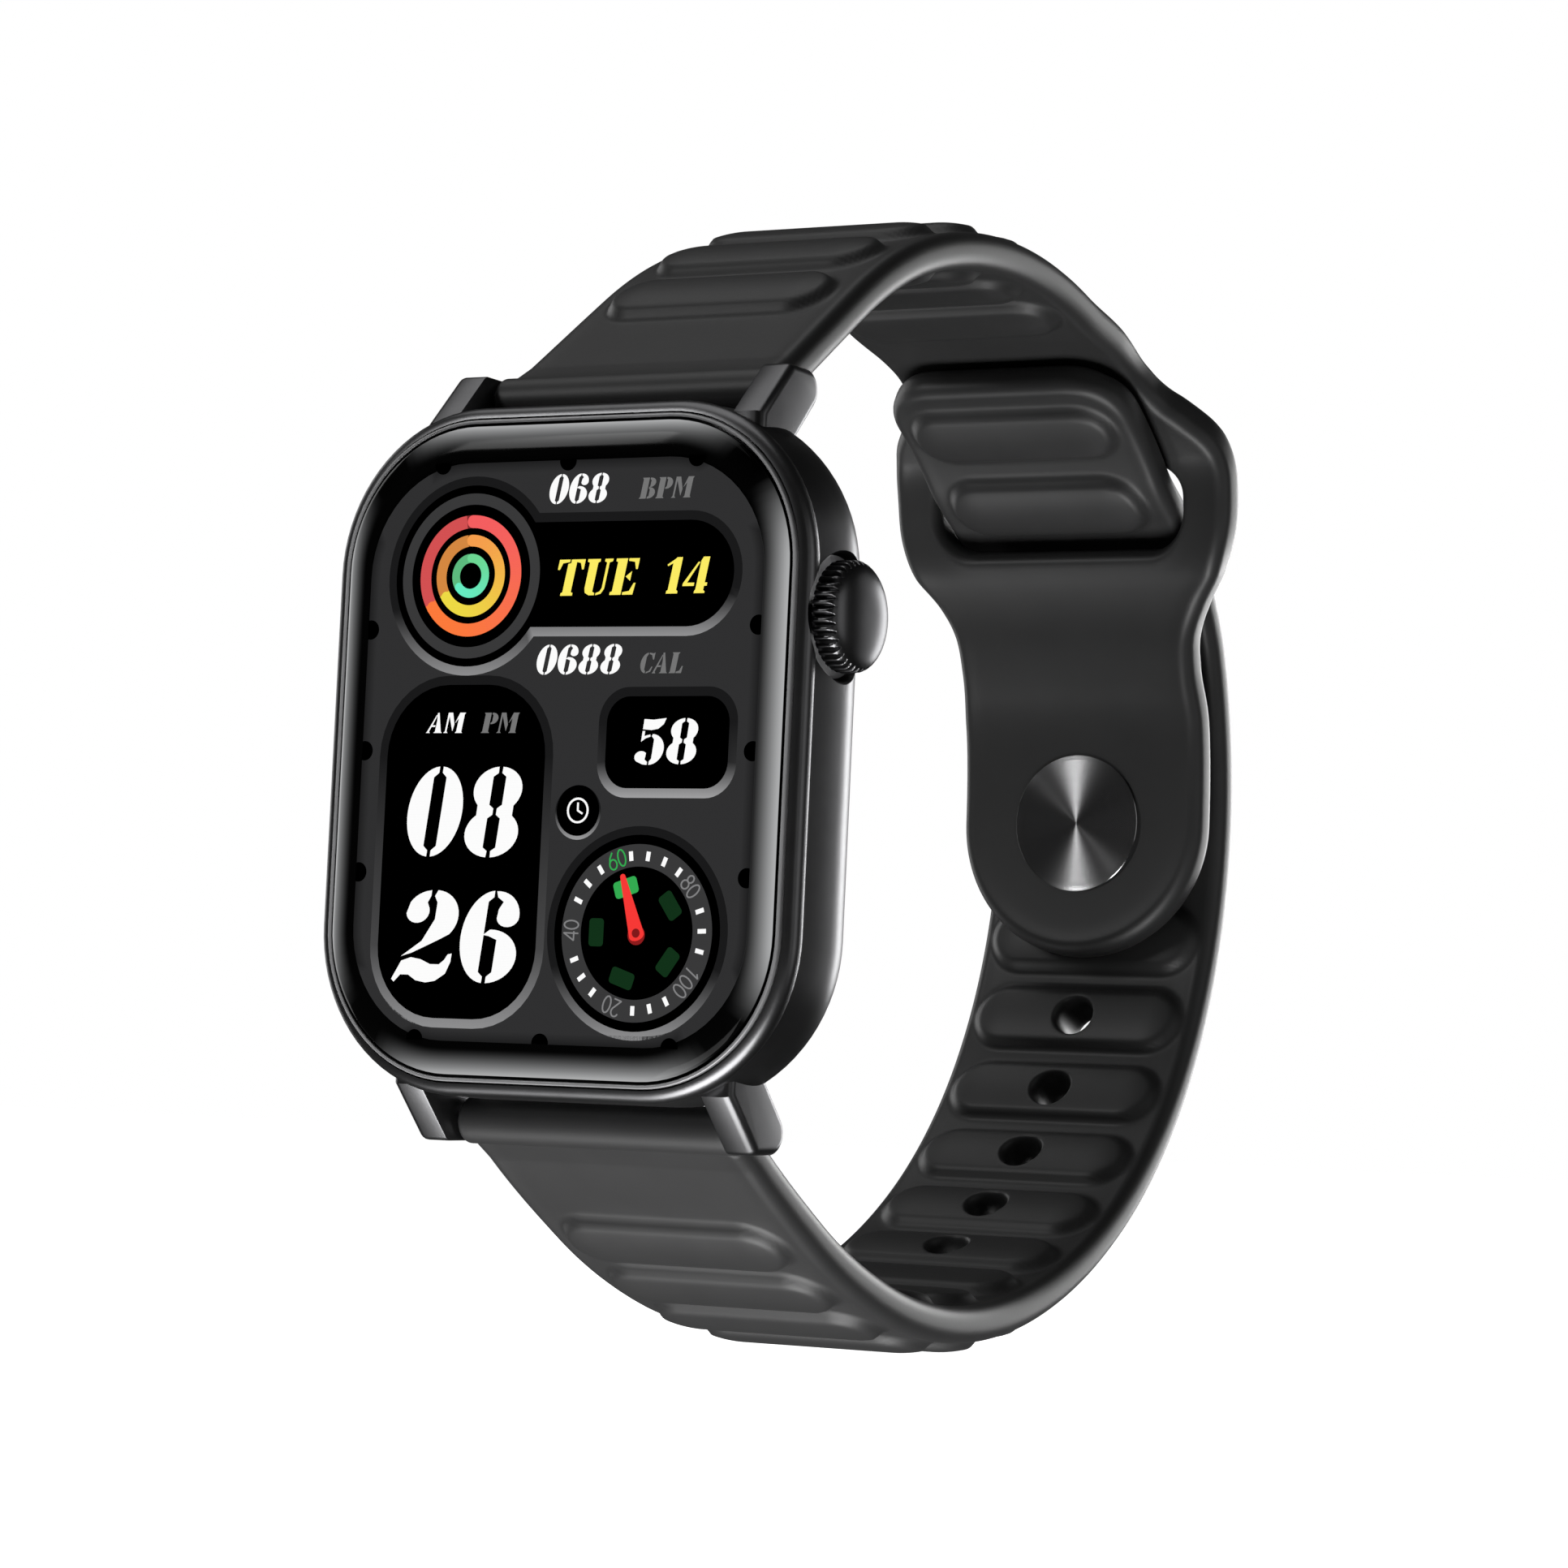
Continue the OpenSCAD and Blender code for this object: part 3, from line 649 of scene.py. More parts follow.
def make_gauge(picture):
    """Round gauge with ticks, numbers, blocks and a pointer."""
    cx, cz, reading, tick = 7.6, -12.1, -18.6, 15
    picture.recess(disc(cx, cz, 7.0, 72), disc(cx, cz, 6.43, 72), inset_shade(cz, 6.6))
    grey_track(picture, cx, cz, 4.35, 5.82)
    for first, count in ((-7.5, 4), (72.5, 3), (150, 3), (219, 3), (294, 3)):
        for i in range(count):
            ends = [around(cx, cz, radius, first + tick * i) for radius in (4.8, 5.32)]
            picture.line(ends, 0.3, 4, WHITE)
    for number, angle in (("60", -20), ("80", 52.5), ("100", 127.5), ("20", 199), ("40", 271)):
        colour = GREEN if number == "60" else MARK_GREY
        thin_number(picture, number, *around(cx, cz, 5.08, angle), 1.12, angle, colour)
    for i in range(5):
        a = math.radians(90 - (-18 + 72 * i))
        c, s = math.cos(a), math.sin(a)
        tile = round_box(3.12, 0, 0.56, 0.92, 0.24, 4)
        block = [(cx + p * c - q * s, cz + p * s + q * c) for p, q in tile]
        picture.plate(block, 3, GREEN if i == 0 else GREEN_OFF)
    picture.plate(disc(cx, cz - 0.12, 0.66, 28), 3, RED_DARK)
    lean = math.radians(90 - reading)
    along, side = np.array([math.cos(lean), math.sin(lean)]), np.array([-math.sin(lean), math.cos(lean)])
    half_turn = np.radians(np.linspace(0, 180, 9))
    tip = [along * (3.85 + 0.2 * math.sin(t)) - side * 0.2 * math.cos(t) for t in half_turn]
    hub = [side * 0.58 * math.cos(t) - along * (0.15 + 0.35 * math.sin(t)) for t in half_turn]
    picture.plate([(cx + x, cz + z) for x, z in tip + hub], 4, RED)
    picture.plate(disc(cx, cz, 0.3, 20), 5, HUB_RED)


def make_display():
    """Watch face with its time, date and meters, drawn as thin plates on the display."""
    picture = Picture()
    make_back_plate(picture)
    make_ring_dial(picture)
    picture.window(-6.65, -6.92, 6.4, 11.15, 5.4, 4.8)
    picture.window(9.25, 0.38, 4.75, 3.02, 2.3, 1.75)
    make_gauge(picture)
    write(picture, "TUE", -0.3, 10.1, 2.4, 6.9, YELLOW)
    write(picture, "14", 8.15, 10.12, 2.38, 4.1, YELLOW)
    write(picture, "068", -1.1, 16.22, 2.0, 5.05, WHITE)
    write(picture, "BPM", 6.15, 16.42, 1.38, 4.35, GREY)
    write(picture, "0688", -1.45, 4.86, 2.0, 7.1, WHITE)
    write(picture, "CAL", 6.8, 4.9, 1.36, 3.6, GREY)
    write(picture, "AM", -9.85, 1.0, 1.36, 3.15, WHITE)
    write(picture, "PM", -5.5, 1.0, 1.35, 3.15, GREY)
    write(picture, "08", -11.5, -7.3, 6.05, 10.1, WHITE, slant=0.13)
    write(picture, "26", -11.65, -15.65, 6.15, 10.5, WHITE, slant=0.13)
    write(picture, "58", 6.7, -1.06, 3.02, 5.2, WHITE, slant=0.13)

    # Round button with a plain clock sign
    cx, cz = 2.56, -4.12
    picture.recess(disc(cx, cz - 0.13, 1.8, 40), disc(cx, cz, 1.68, 40), inset_shade(cz + 0.9, 2.4))
    picture.line(arc(cx, cz, 0.78, 0.78, 0, 360, 28), 0.14, 3, WHITE)
    picture.line([(cx, cz + 0.5), (cx, cz), (cx + 0.36, cz - 0.2)], 0.13, 3, WHITE)
    picture.finish("display_picture", pixels)


# ---------- strap ----------
#
# Places on the strap are (x, s): x across it, and s along its middle line. Angles go
# round the loop, from 0 at its back through 90 at its top to 180 at the watch head.

LOOP_R, STRAP_T, END_A, STUD_A, SLOT_A = 38.15, 2.5, 138.0, 1.1, 40.3
TONGUE_MID, TONGUE_T, TONGUE_R, TAIL_END_A = 35.1, 2.8, 10.45, 63.8
# How far the soft loop settles back and up, and how much wider it grows
SHIFT, GROWTH = np.array([0.8, 0.8]), 0.35
SLOT_HALF, SLOT_H, SLOT_R = 10.65, 7.0, 2.9
RIB_H, RIB_W, RIB_HALF, RIB_FIRST, RIB_PITCH, RIBS = 1.05, 6.2, 9.3, 124.4, 9.8, 6
HOLE_FIRST, HOLE_PITCH, HOLE_R, HOLES = -14.0, 10.35, 1.5, 6
EDGE_R = 1.0
# Size of the mesh's cells across and along the strap
CELL_X, CELL_S = 0.28, 0.3


def flare(a):
    """Extra radius near the lugs."""
    return 1.2 * (np.maximum(0, np.abs(a) - 123) / 15.5) ** 2


def upper_mid(a):
    """Radius of the upper strap's middle line, which steps inwards to the tongue."""
    rise = 0.9
    flat = 1 / np.cos(np.radians(np.clip(a - STUD_A, -22, 22))) - 1
    step = LOOP_R + rise - TONGUE_MID - 0.5 * TONGUE_MID * flat * ease((25 - a) / 18)
    return LOOP_R + flare(a) + rise * ease((72 - a) / 12) - step * ease((47 - a) / 14)


def upper_thick(a):
    """Thickness of the upper strap, keeper and tongue."""
    keeper = 0.4 * ease((a - 26) / 8) * ease((58 - a) / 8)
    return STRAP_T - (STRAP_T - TONGUE_T) * ease((40 - a) / 14) + keeper


def lower_mid(a):
    """Radius of the lower strap's middle line, whose tail passes inwards through the slot."""
    tail = -0.75 * ease((a - 20) / 14) - 1.8 * ease((a - 33) / 13)
    return LOOP_R + flare(a) + 0.4 * ease((a + 75) / 45) + tail


def lower_thick(a):
    """Thickness of the lower strap, which is even."""
    return np.full_like(a, STRAP_T)


class Path:
    """Middle line of a strap as a curve that is measured along its own length."""

    def __init__(self, mid, thick, first, last, roll_side):
        """roll_side is 1 for a path that ends at the upper spring bar, and -1 for one from the lower."""
        angles = np.arange(first, last + 0.01, 0.2)
        outward = np.stack([np.cos(np.radians(angles)), np.sin(np.radians(angles))], 1)
        settle = ease((END_A - np.abs(angles)) / 30)
        if roll_side > 0:
            settle = settle * ease((angles - 18) / 16)
        line = outward * (mid(angles) + GROWTH * settle)[:, None] + SHIFT * settle[:, None]
        hub = np.array([BAR_Y, roll_side * BAR_Z])
        to_bar = 12
        if roll_side > 0:
            line = np.vstack([line, np.linspace(line[-1], hub, to_bar)[1:]])
            self.thickness = np.concatenate([thick(angles), np.full(to_bar - 1, STRAP_T)])
            start = 0
        else:
            line = np.vstack([np.linspace(hub, line[0], to_bar)[:-1], line])
            self.thickness = np.concatenate([np.full(to_bar - 1, STRAP_T), thick(angles)])
            start = to_bar - 1
        self.line, self.angles = line, angles
        self.length = np.concatenate([[0], np.cumsum(np.linalg.norm(np.diff(line, axis=0), axis=1))])
        self.length_at_angles = self.length[start:start + len(angles)]
        tangent = np.gradient(line, self.length, axis=0)
        tangent /= np.linalg.norm(tangent, axis=1)[:, None]
        self.normal = np.stack([tangent[:, 1], -tangent[:, 0]], 1)

    def at(self, angle):
        """Length along the path where its angle round the loop is this one."""
        return float(np.interp(angle, self.angles, self.length_at_angles))

    def place(self, x, s, height):
        """World points for places across and along the strap, at heights over its middle."""
        y, z = (np.interp(s, self.length, self.line[:, i]) for i in (0, 1))
        ny, nz = (np.interp(s, self.length, self.normal[:, i]) for i in (0, 1))
        size = np.hypot(ny, nz)
        return np.stack([x, y + height * ny / size, z + height * nz / size], 1)

    def thick(self, s):
        """Thickness of the strap at a length along the path."""
        return np.interp(s, self.length, self.thickness)

    def half_width(self, s):
        """Half width of the band, which narrows from the lugs to the back of the loop."""
        y = np.interp(s, self.length, self.line[:, 0])
        return 11.0 - 0.9 * (y + 36) / 78


def gradient(distance, p):
    """Slopes of distance(x, s) across and along the strap, at points p."""
    tiny = 1e-4
    across = distance(p[:, 0] + tiny, p[:, 1]) - distance(p[:, 0] - tiny, p[:, 1])
    along = distance(p[:, 0], p[:, 1] + tiny) - distance(p[:, 0], p[:, 1] - tiny)
    return np.stack([across, along], 1) / (2 * tiny)


def used_points(faces):
    """The points that faces use, and the faces with only those points numbered."""
    used = sorted({i for face in faces for i in face})
    number = {old: new for new, old in enumerate(used)}
    return used, [tuple(number[i] for i in face) for face in faces]


def border_loops(faces):
    """Loops of points round the open borders of faces."""
    edges = {(a, b) for face in faces for a, b in zip(face, face[1:] + face[:1])}
    follow = {a: b for a, b in edges if (b, a) not in edges}
    loops = []
    while follow:
        here, loop = next(iter(follow)), []
        while here in follow:
            loop.append(here)
            here = follow.pop(here)
        loops.append(loop)
    return loops


def conforming_grid(distance, level, xs, ss):
    """Points and faces of the grid cells where distance is over level.

    The cells' border is put exactly on that level.
    """
    gx, gs = np.meshgrid(xs, ss, indexing="ij")
    points = np.stack([gx.ravel(), gs.ravel()], 1)

    def gap(p):
        return distance(p[:, 0], p[:, 1]) - level

    def pull(p):
        for _ in range(3):
            slope = gradient(distance, p)
            p = p - slope * (gap(p) / np.maximum(0.2, np.sum(slope ** 2, 1)))[:, None]
        return p

    value = gap(points)
    near = np.abs(value) < 0.32 * min(xs[1] - xs[0], ss[1] - ss[0])
    points[near] = pull(points[near])
    value[near] = 0.0
    sign = np.sign(value).astype(int)
    points = [tuple(p) for p in points]
    cuts, faces = {}, []

    def crossing(i, j):
        key = (min(i, j), max(i, j))
        if key not in cuts:
            t = value[i] / (value[i] - value[j])
            p = np.array(points[i]) + t * (np.array(points[j]) - np.array(points[i]))
            cuts[key] = len(points)
            points.append(tuple(pull(p[None, :])[0]))
        return cuts[key]

    columns = len(ss)
    grid = sign.reshape(len(xs), columns)
    inside = np.maximum.reduce([grid[:-1, :-1], grid[1:, :-1], grid[:-1, 1:], grid[1:, 1:]]) > 0
    for r, c in zip(*np.nonzero(inside)):
        first = r * columns + c
        corners = [first, first + columns, first + columns + 1, first + 1]
        face = []
        for i, j in zip(corners, corners[1:] + corners[:1]):
            if sign[i] >= 0:
                face.append(i)
            if sign[i] * sign[j] < 0:
                face.append(crossing(i, j))
        if len(face) > 2:
            faces.append(tuple(face))
    used, faces = used_points(faces)
    return np.array([points[i] for i in used]), faces


def soft_sheet(path, distance, relief, xs, ss):
    """Points and faces of a soft band: two faces with relief, joined by rounded edges.

    distance(x, s) is the distance inside the band's edges, and relief(x, s, side)
    is how far a face stands over the band's plain thickness.
    """
    flat, plan = conforming_grid(distance, EDGE_R, xs, ss)
    loops = border_loops(plan)
    edge_drop, thinnest = 1.05, 0.05
    points, faces = [], []
    size = 0

    def add(p, side, drop):
        """Adds points on one face, lowered by drop, and returns their first number."""
        nonlocal size
        half = path.thick(p[:, 1]) / 2 + relief(p[:, 0], p[:, 1], side) - drop
        points.append(path.place(p[:, 0], p[:, 1], side * np.maximum(half, thinnest)))
        size += len(p)
        return size - len(p)

    def stitch(before, after):
        """Joins two loops of point numbers with quads."""
        for j in range(len(before)):
            k = (j + 1) % len(before)
            faces.append((before[k], before[j], after[j], after[k]))

    borders = {}
    for side in (1, -1):
        base = add(flat, side, 0)
        faces += [tuple(base + i for i in face[::side]) for face in plan]
        for n, loop in enumerate(loops):
            p = flat[loop]
            slope = gradient(distance, p)
            out = -slope / np.sum(slope ** 2, 1)[:, None]
            before = [base + i for i in loop]
            for t in np.radians(np.linspace(90, 0, 8))[1:]:
                first = add(p + out * EDGE_R * math.cos(t), side, edge_drop * (1 - math.sin(t)))
                after = list(range(first, size))
                stitch(before, after)
                before = after
            borders[(side, n)] = before
    for n in range(len(loops)):
        stitch(borders[(1, n)], borders[(-1, n)])
    return np.vstack(points), faces


def rib_height(x, s, centre, width=RIB_W, half=RIB_HALF):
    """A soft stadium-shaped pad across the band."""
    q = np.hypot(np.maximum(np.abs(x) - (half - width / 2), 0), s - centre) / (width / 2)
    return RIB_H * ease((1 - q) / 0.3) * (0.5 + 0.5 * np.clip(1 - q * q, 0, 1))


def edge_bead(d):
    """The slightly raised border along the band's edges."""
    return 0.08 * np.exp(-((d - 0.7) / 0.75) ** 2)


def smooth_through(s, marks, values):
    """A curve without corners that goes through values at marks along the path."""
    marks, values = np.array(marks), np.array(values)
    slopes = np.gradient(values, marks)
    slopes[0] = slopes[-1] = 0.0
    i = np.clip(np.searchsorted(marks, s) - 1, 0, len(marks) - 2)
    gap = marks[i + 1] - marks[i]
    t = np.clip((s - marks[i]) / gap, 0, 1)
    start = (1 + 2 * t) * (1 - t) ** 2 * values[i] + t * (1 - t) ** 2 * gap * slopes[i]
    return start + t * t * (3 - 2 * t) * values[i + 1] + t * t * (t - 1) * gap * slopes[i + 1]


def rounded_box_distance(x, s, half_x, half_s, radius):
    """Signed distance outside a rounded rectangle at the origin."""
    qx, qs = np.abs(x) - (half_x - radius), np.abs(s) - (half_s - radius)
    return np.hypot(np.maximum(qx, 0), np.maximum(qs, 0)) + np.minimum(np.maximum(qx, qs), 0) - radius


def flex_ends(joint):
    """Where the strap starts and stops bending round a flex joint, in metres."""
    _, y, z = next(j for j in frame["joints"] if j["name"] == joint)["pos_m"]
    reach = 7 * MM
    return (0, y - reach, z), (0, y + reach, z)


def open_piece(name, points, faces, normals):
    """A part of a larger smooth shape, which keeps that shape's own normals."""
    mesh = bpy.data.meshes.new(name)
    mesh.from_pydata([tuple(p) for p in points * MM], [], faces)
    mesh.materials.append(silicone)
    mesh.shade_smooth()
    mesh.normals_split_custom_set_from_vertices([tuple(n) for n in normals])
    return add_object(name, mesh)


def make_upper_strap():
    """Upper strap, keeper and tongue: one moulding, split where the slot is widest."""
    path = Path(upper_mid, upper_thick, -21.0, END_A, 1)
    stud, slot, end = path.at(STUD_A), path.at(SLOT_A), path.length[-1]
    keeper = ((14.0, 0.0), (21.0, -0.1), (25.0, 0.25), (28.5, 1.3), (32.5, 3.0), (37.0, 4.1), (41.0, 4.4),
              (45.0, 4.25), (48.5, 3.5), (51.5, 2.1), (54.0, 0.8), (57.0, 0.15), (64.0, 0.0))
    marks, widths = [path.at(a) for a, _ in keeper], [extra for _, extra in keeper]
    rim = 0.75

    def half_width(s):
        band = np.where(s < marks[0], TONGUE_R, path.half_width(s))
        blend = ease((s - marks[0]) / (marks[3] - marks[0]))
        return TONGUE_R * (1 - blend) + band * blend + smooth_through(s, marks, widths)

    def distance(x, s):
        step = 0.4
        slope = (half_width(s + step) - half_width(s - step)) / (2 * step)
        side = (half_width(s) - np.abs(x)) / np.sqrt(1 + slope ** 2)
        tip = TONGUE_R - np.hypot(x, s - stud)
        hole = rounded_box_distance(x, s - slot, SLOT_HALF, SLOT_H / 2, SLOT_R) * EDGE_R / rim
        return np.minimum(np.minimum(np.where(s < stud, tip, side), hole), end - s)

    def relief(x, s, side):
        ribs = sum(rib_height(x, s, path.at(RIB_FIRST - i * RIB_PITCH)) for i in range(RIBS))
        return edge_bead(distance(x, s)) + ribs

    xs = np.arange(-54, 55) * CELL_X
    cells_before, cells_after = math.ceil((slot - stud + 12) / CELL_S), math.ceil((end - slot) / CELL_S)
    ss = slot + np.arange(-cells_before, cells_after + 1) * CELL_S
    points, faces = soft_sheet(path, distance, relief, xs, ss)

    whole = new_mesh("strap_upper_whole", points, faces, [silicone], None, None, 180)
    normals = np.array([v.normal for v in whole.data.vertices])
    faces = [tuple(face.vertices) for face in whole.data.polygons]
    bpy.data.objects.remove(whole)
    heart, beyond = path.place(np.zeros(2), np.array([slot, slot + 0.5]), np.zeros(2))
    parts = {"strap_upper_band": [], "strap_tongue_band": []}
    for face in faces:
        at_back = points[face[0]][1] > 0
        on_tongue = at_back and np.mean([(points[i] - heart) @ (beyond - heart) for i in face]) <= 0
        parts["strap_tongue_band" if on_tongue else "strap_upper_band"].append(face)
    pieces = []
    for name, mine in parts.items():
        used, mine = used_points(mine)
        pieces.append(open_piece(name, points[used], mine, normals[used]))
    band, tongue = pieces
    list(flex_ends("upper_flex"))
    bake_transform(band)
    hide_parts("strap_upper", "strap_keeper")
    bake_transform(tongue)
    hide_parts("strap_tongue")


def make_lower_strap():
    """Lower strap: plain by the lug, then ribs, size holes and the rounded tail."""
    path = Path(lower_mid, lower_thick, -END_A, TAIL_END_A, -1)
    end = path.length[-1]
    holes = [path.at(a) for a in [STUD_A] + [HOLE_FIRST - i * HOLE_PITCH for i in range(HOLES)]]
    corner, rim = 4.8, 0.4

    def distance(x, s):
        side, top = path.half_width(s) - np.abs(x), end - s
        both = (side < corner) & (top < corner)
        rounded = corner - np.hypot(corner - side, corner - top)
        outer = np.minimum(np.where(both, rounded, np.minimum(side, top)), s)
        near = np.min([np.hypot(x, s - h) for h in holes], axis=0) - HOLE_R
        return np.minimum(outer, near * EDGE_R / rim)

    def relief(x, s, side):
        ribs = [path.at(-RIB_FIRST + i * RIB_PITCH) for i in range(RIBS)] + holes[1:]
        height = sum(rib_height(x, s, centre) for centre in ribs)
        if side < 0:
            for a, reach in ((43.0, 8.8), (55.3, 9.1)):
                height = height + rib_height(x, s, path.at(a), 6.4, reach)
        return height + edge_bead(np.minimum(path.half_width(s) - np.abs(x), end - s))

    xs, ss = np.arange(-40, 41) * CELL_X, np.arange(0, math.ceil(end / CELL_S) + 1) * CELL_S
    points, faces = soft_sheet(path, distance, relief, xs, ss)
    strap = new_mesh("strap_lower_band", points, faces, [silicone], None, "silicone", 180)
    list(flex_ends("lower_flex"))
    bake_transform(strap)
    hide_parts("strap_lower", "strap_tail")


def make_rolls():
    """The strap ends, rolled round their spring bars."""
    half, radius, edge, bore = 10.95, 1.6, 0.4, 1.0
    quarter = np.radians(np.linspace(0, 90, 7))
    profile = [(bore, -half + 0.05)]
    profile += [(radius - edge + edge * math.sin(t), -half + edge - edge * math.cos(t)) for t in quarter]
    profile += [(radius, x) for x in np.linspace(-half + 1, half - 1, 9)]
    profile += [(radius - edge + edge * math.cos(t), half - edge + edge * math.sin(t)) for t in quarter]
    profile += [(bore, half - 0.05)]
    for name, body, side in (("strap_roll_upper", "upper_band", 1), ("strap_roll_lower", "lower_band", -1)):
        points, faces = lathe(profile, 56, axis_x=(BAR_Y, side * BAR_Z), closed=True)
        new_mesh(name, points, faces, [silicone], body, "silicone", 40)


# ---------- materials ----------


class Surface:
    """A node material, built round its main shader."""

    def __init__(self, name, inputs):
        self.material = bpy.data.materials.new(name)
        self.material.use_nodes = True
        self.tree = self.material.node_tree
        self.shader = self.tree.nodes["Principled BSDF"]
        self.set(self.shader, inputs)

    def set(self, node, inputs):
        """Sets input sockets, which are given by name or number."""
        for socket, value in inputs.items():
            node.inputs[socket].default_value = value

    def node(self, kind, inputs, **settings):
        """A new node with its settings and inputs."""
        made = self.tree.nodes.new("ShaderNode" + kind)
        for setting, value in settings.items():
            setattr(made, setting, value)
        self.set(made, inputs)
        return made

    def link(self, source, output, target, socket):
        """Joins an output of one node to an input of another."""
        self.tree.links.new(source.outputs[output], target.inputs[socket])

    def on_object(self, kind, inputs, **settings):
        """A texture node that is fixed to the object's own coordinates."""
        made = self.node(kind, inputs, **settings)
        self.link(self.node("TexCoord", {}), "Object", made, "Vector")
        return made

    def bump(self, texture, strength, distance):
        """Makes the texture's height show, with distance in millimetres."""
        height = self.node("Bump", {"Strength": strength, "Distance": distance * MM})
        self.link(texture, "Fac", height, "Height")
        self.link(height, "Normal", self.shader, "Normal")

    def roughen(self, texture, low, high):
        """Lets the texture vary the roughness between two values."""
        spread = self.node("MapRange", {"To Min": low, "To Max": high})
        self.link(texture, "Fac", spread, "Value")
        self.link(spread, "Result", self.shader, "Roughness")


def fine_surface(name, base, metallic, rough, spread, grain, bump,
                 coat=0.0, specular=0.5, tint=0.12, rim=1.0):
    """A surface whose colour, roughness and height vary finely, as on a real moulding or coating.

    rim is how strongly it reflects at its edges, next to plain metal.
    """
    made = Surface(name, {"Specular Tint": (rim, rim, rim, 1), "Metallic": metallic, "Coat Weight": coat,
                          "Specular IOR Level": specular, "Coat Roughness": 0.15})
    fine = made.on_object("TexNoise", {"Scale": grain, "Detail": 3.0})
    broad = made.on_object("TexNoise", {"Scale": grain / 18, "Detail": 2.0})
    low, high = (tuple(v * k for v in base) + (1,) for k in (1 - tint, 1 + tint))
    colours = made.node("Mix", {6: low, 7: high}, data_type="RGBA")
    made.link(broad, "Fac", colours, 0)
    made.link(colours, 2, made.shader, "Base Color")
    made.roughen(fine, rough - spread, rough + spread)
    made.bump(fine, 1.0, bump)
    return made.material


def spun_metal(name, base, rough):
    """Turned metal: fine rings round the disc's own axis, with stretched highlights."""
    made = Surface(name, {"Metallic": 1.0, "Base Color": base + (1,), "Roughness": rough,
                          "Anisotropic": 0.92, "Anisotropic Rotation": 0.25})
    tangent = made.node("Tangent", {}, direction_type="RADIAL", axis="Y")
    made.link(tangent, "Tangent", made.shader, "Tangent")
    rings = made.on_object("TexWave", {"Scale": 1400, "Distortion": 0.4},
                           wave_type="RINGS", rings_direction="Y")
    made.bump(rings, 0.25, 0.004)
    return made.material


def display_pixels(name):
    """The lit display: each plate's own colour, under a faint grid of pixels."""
    made = Surface(name, {"Base Color": (0, 0, 0, 1), "Specular IOR Level": 0.0, "Roughness": 0.3,
                          "Emission Strength": 1.0})
    colour = made.node("Attribute", {}, attribute_name="pixel_colour")
    turned = made.on_object("Mapping", {"Rotation": (math.pi / 2, 0, 0)})
    pixel, gap = 0.08 * MM, 0.006 * MM
    grid = made.node("TexBrick", {"Scale": 1.0, "Color1": (1, 1, 1, 1), "Color2": (1, 1, 1, 1),
                                  "Mortar": (0.9, 0.9, 0.9, 1), "Brick Width": pixel, "Row Height": pixel,
                                  "Mortar Size": gap}, offset=0.0)
    made.link(turned, "Vector", grid, "Vector")
    product = made.node("Mix", {0: 1.0}, data_type="RGBA", blend_type="MULTIPLY")
    made.link(colour, "Color", product, 6)
    made.link(grid, "Color", product, 7)
    made.link(product, 2, made.shader, "Emission Color")
    return made.material


def edge_glass(name):
    """Dark glass whose polished edge glows with a painted highlight, lighter towards its rim along the
    straight sides.
    """
    made = Surface(name, {"Base Color": (0.001, 0.001, 0.001, 1), "Specular IOR Level": 0.03,
                          "Emission Strength": 1.0})
    made.roughen(made.on_object("TexNoise", {"Scale": 160}), 0.06, 0.12)
    # The painted highlight is emitted, so the edge glows the same under any lamp
    painted_highlight = made.node("Attribute", {}, attribute_name="painted_edge_highlight")
    tint = made.node("Mix", {6: (0, 0, 0, 1), 7: (0.42, 0.425, 0.43, 1)}, data_type="RGBA")
    made.link(painted_highlight, "Fac", tint, 0)
    made.link(tint, 2, made.shader, "Emission Color")
    return made.material


silicone = fine_surface("silicone", (0.0245, 0.0245, 0.0248), 0, 0.46, 0.03, 5200, 0.003, specular=0.36)
case_metal = fine_surface("case_coating", (0.125, 0.125, 0.128), 1, 0.34, 0.03, 9000, 0.0003, rim=0.6)
crown_metal = fine_surface("crown_coating", (0.11, 0.11, 0.113), 1, 0.3, 0.03, 9000, 0.0003, rim=0.5)
bezel_metal = fine_surface("bezel_coating", (0.25, 0.25, 0.255), 0.2, 0.35, 0.02, 9000, 0.0002)
glass_edge = edge_glass("glass_edge")
glass_flat = fine_surface("glass_flat", (0.0008, 0.0008, 0.0008), 0, 0.08, 0.02, 900, 0.0, specular=0.04)
stud_metal = spun_metal("spun_stud", (0.46, 0.46, 0.465), 0.25)
pixels = display_pixels("display_pixels")

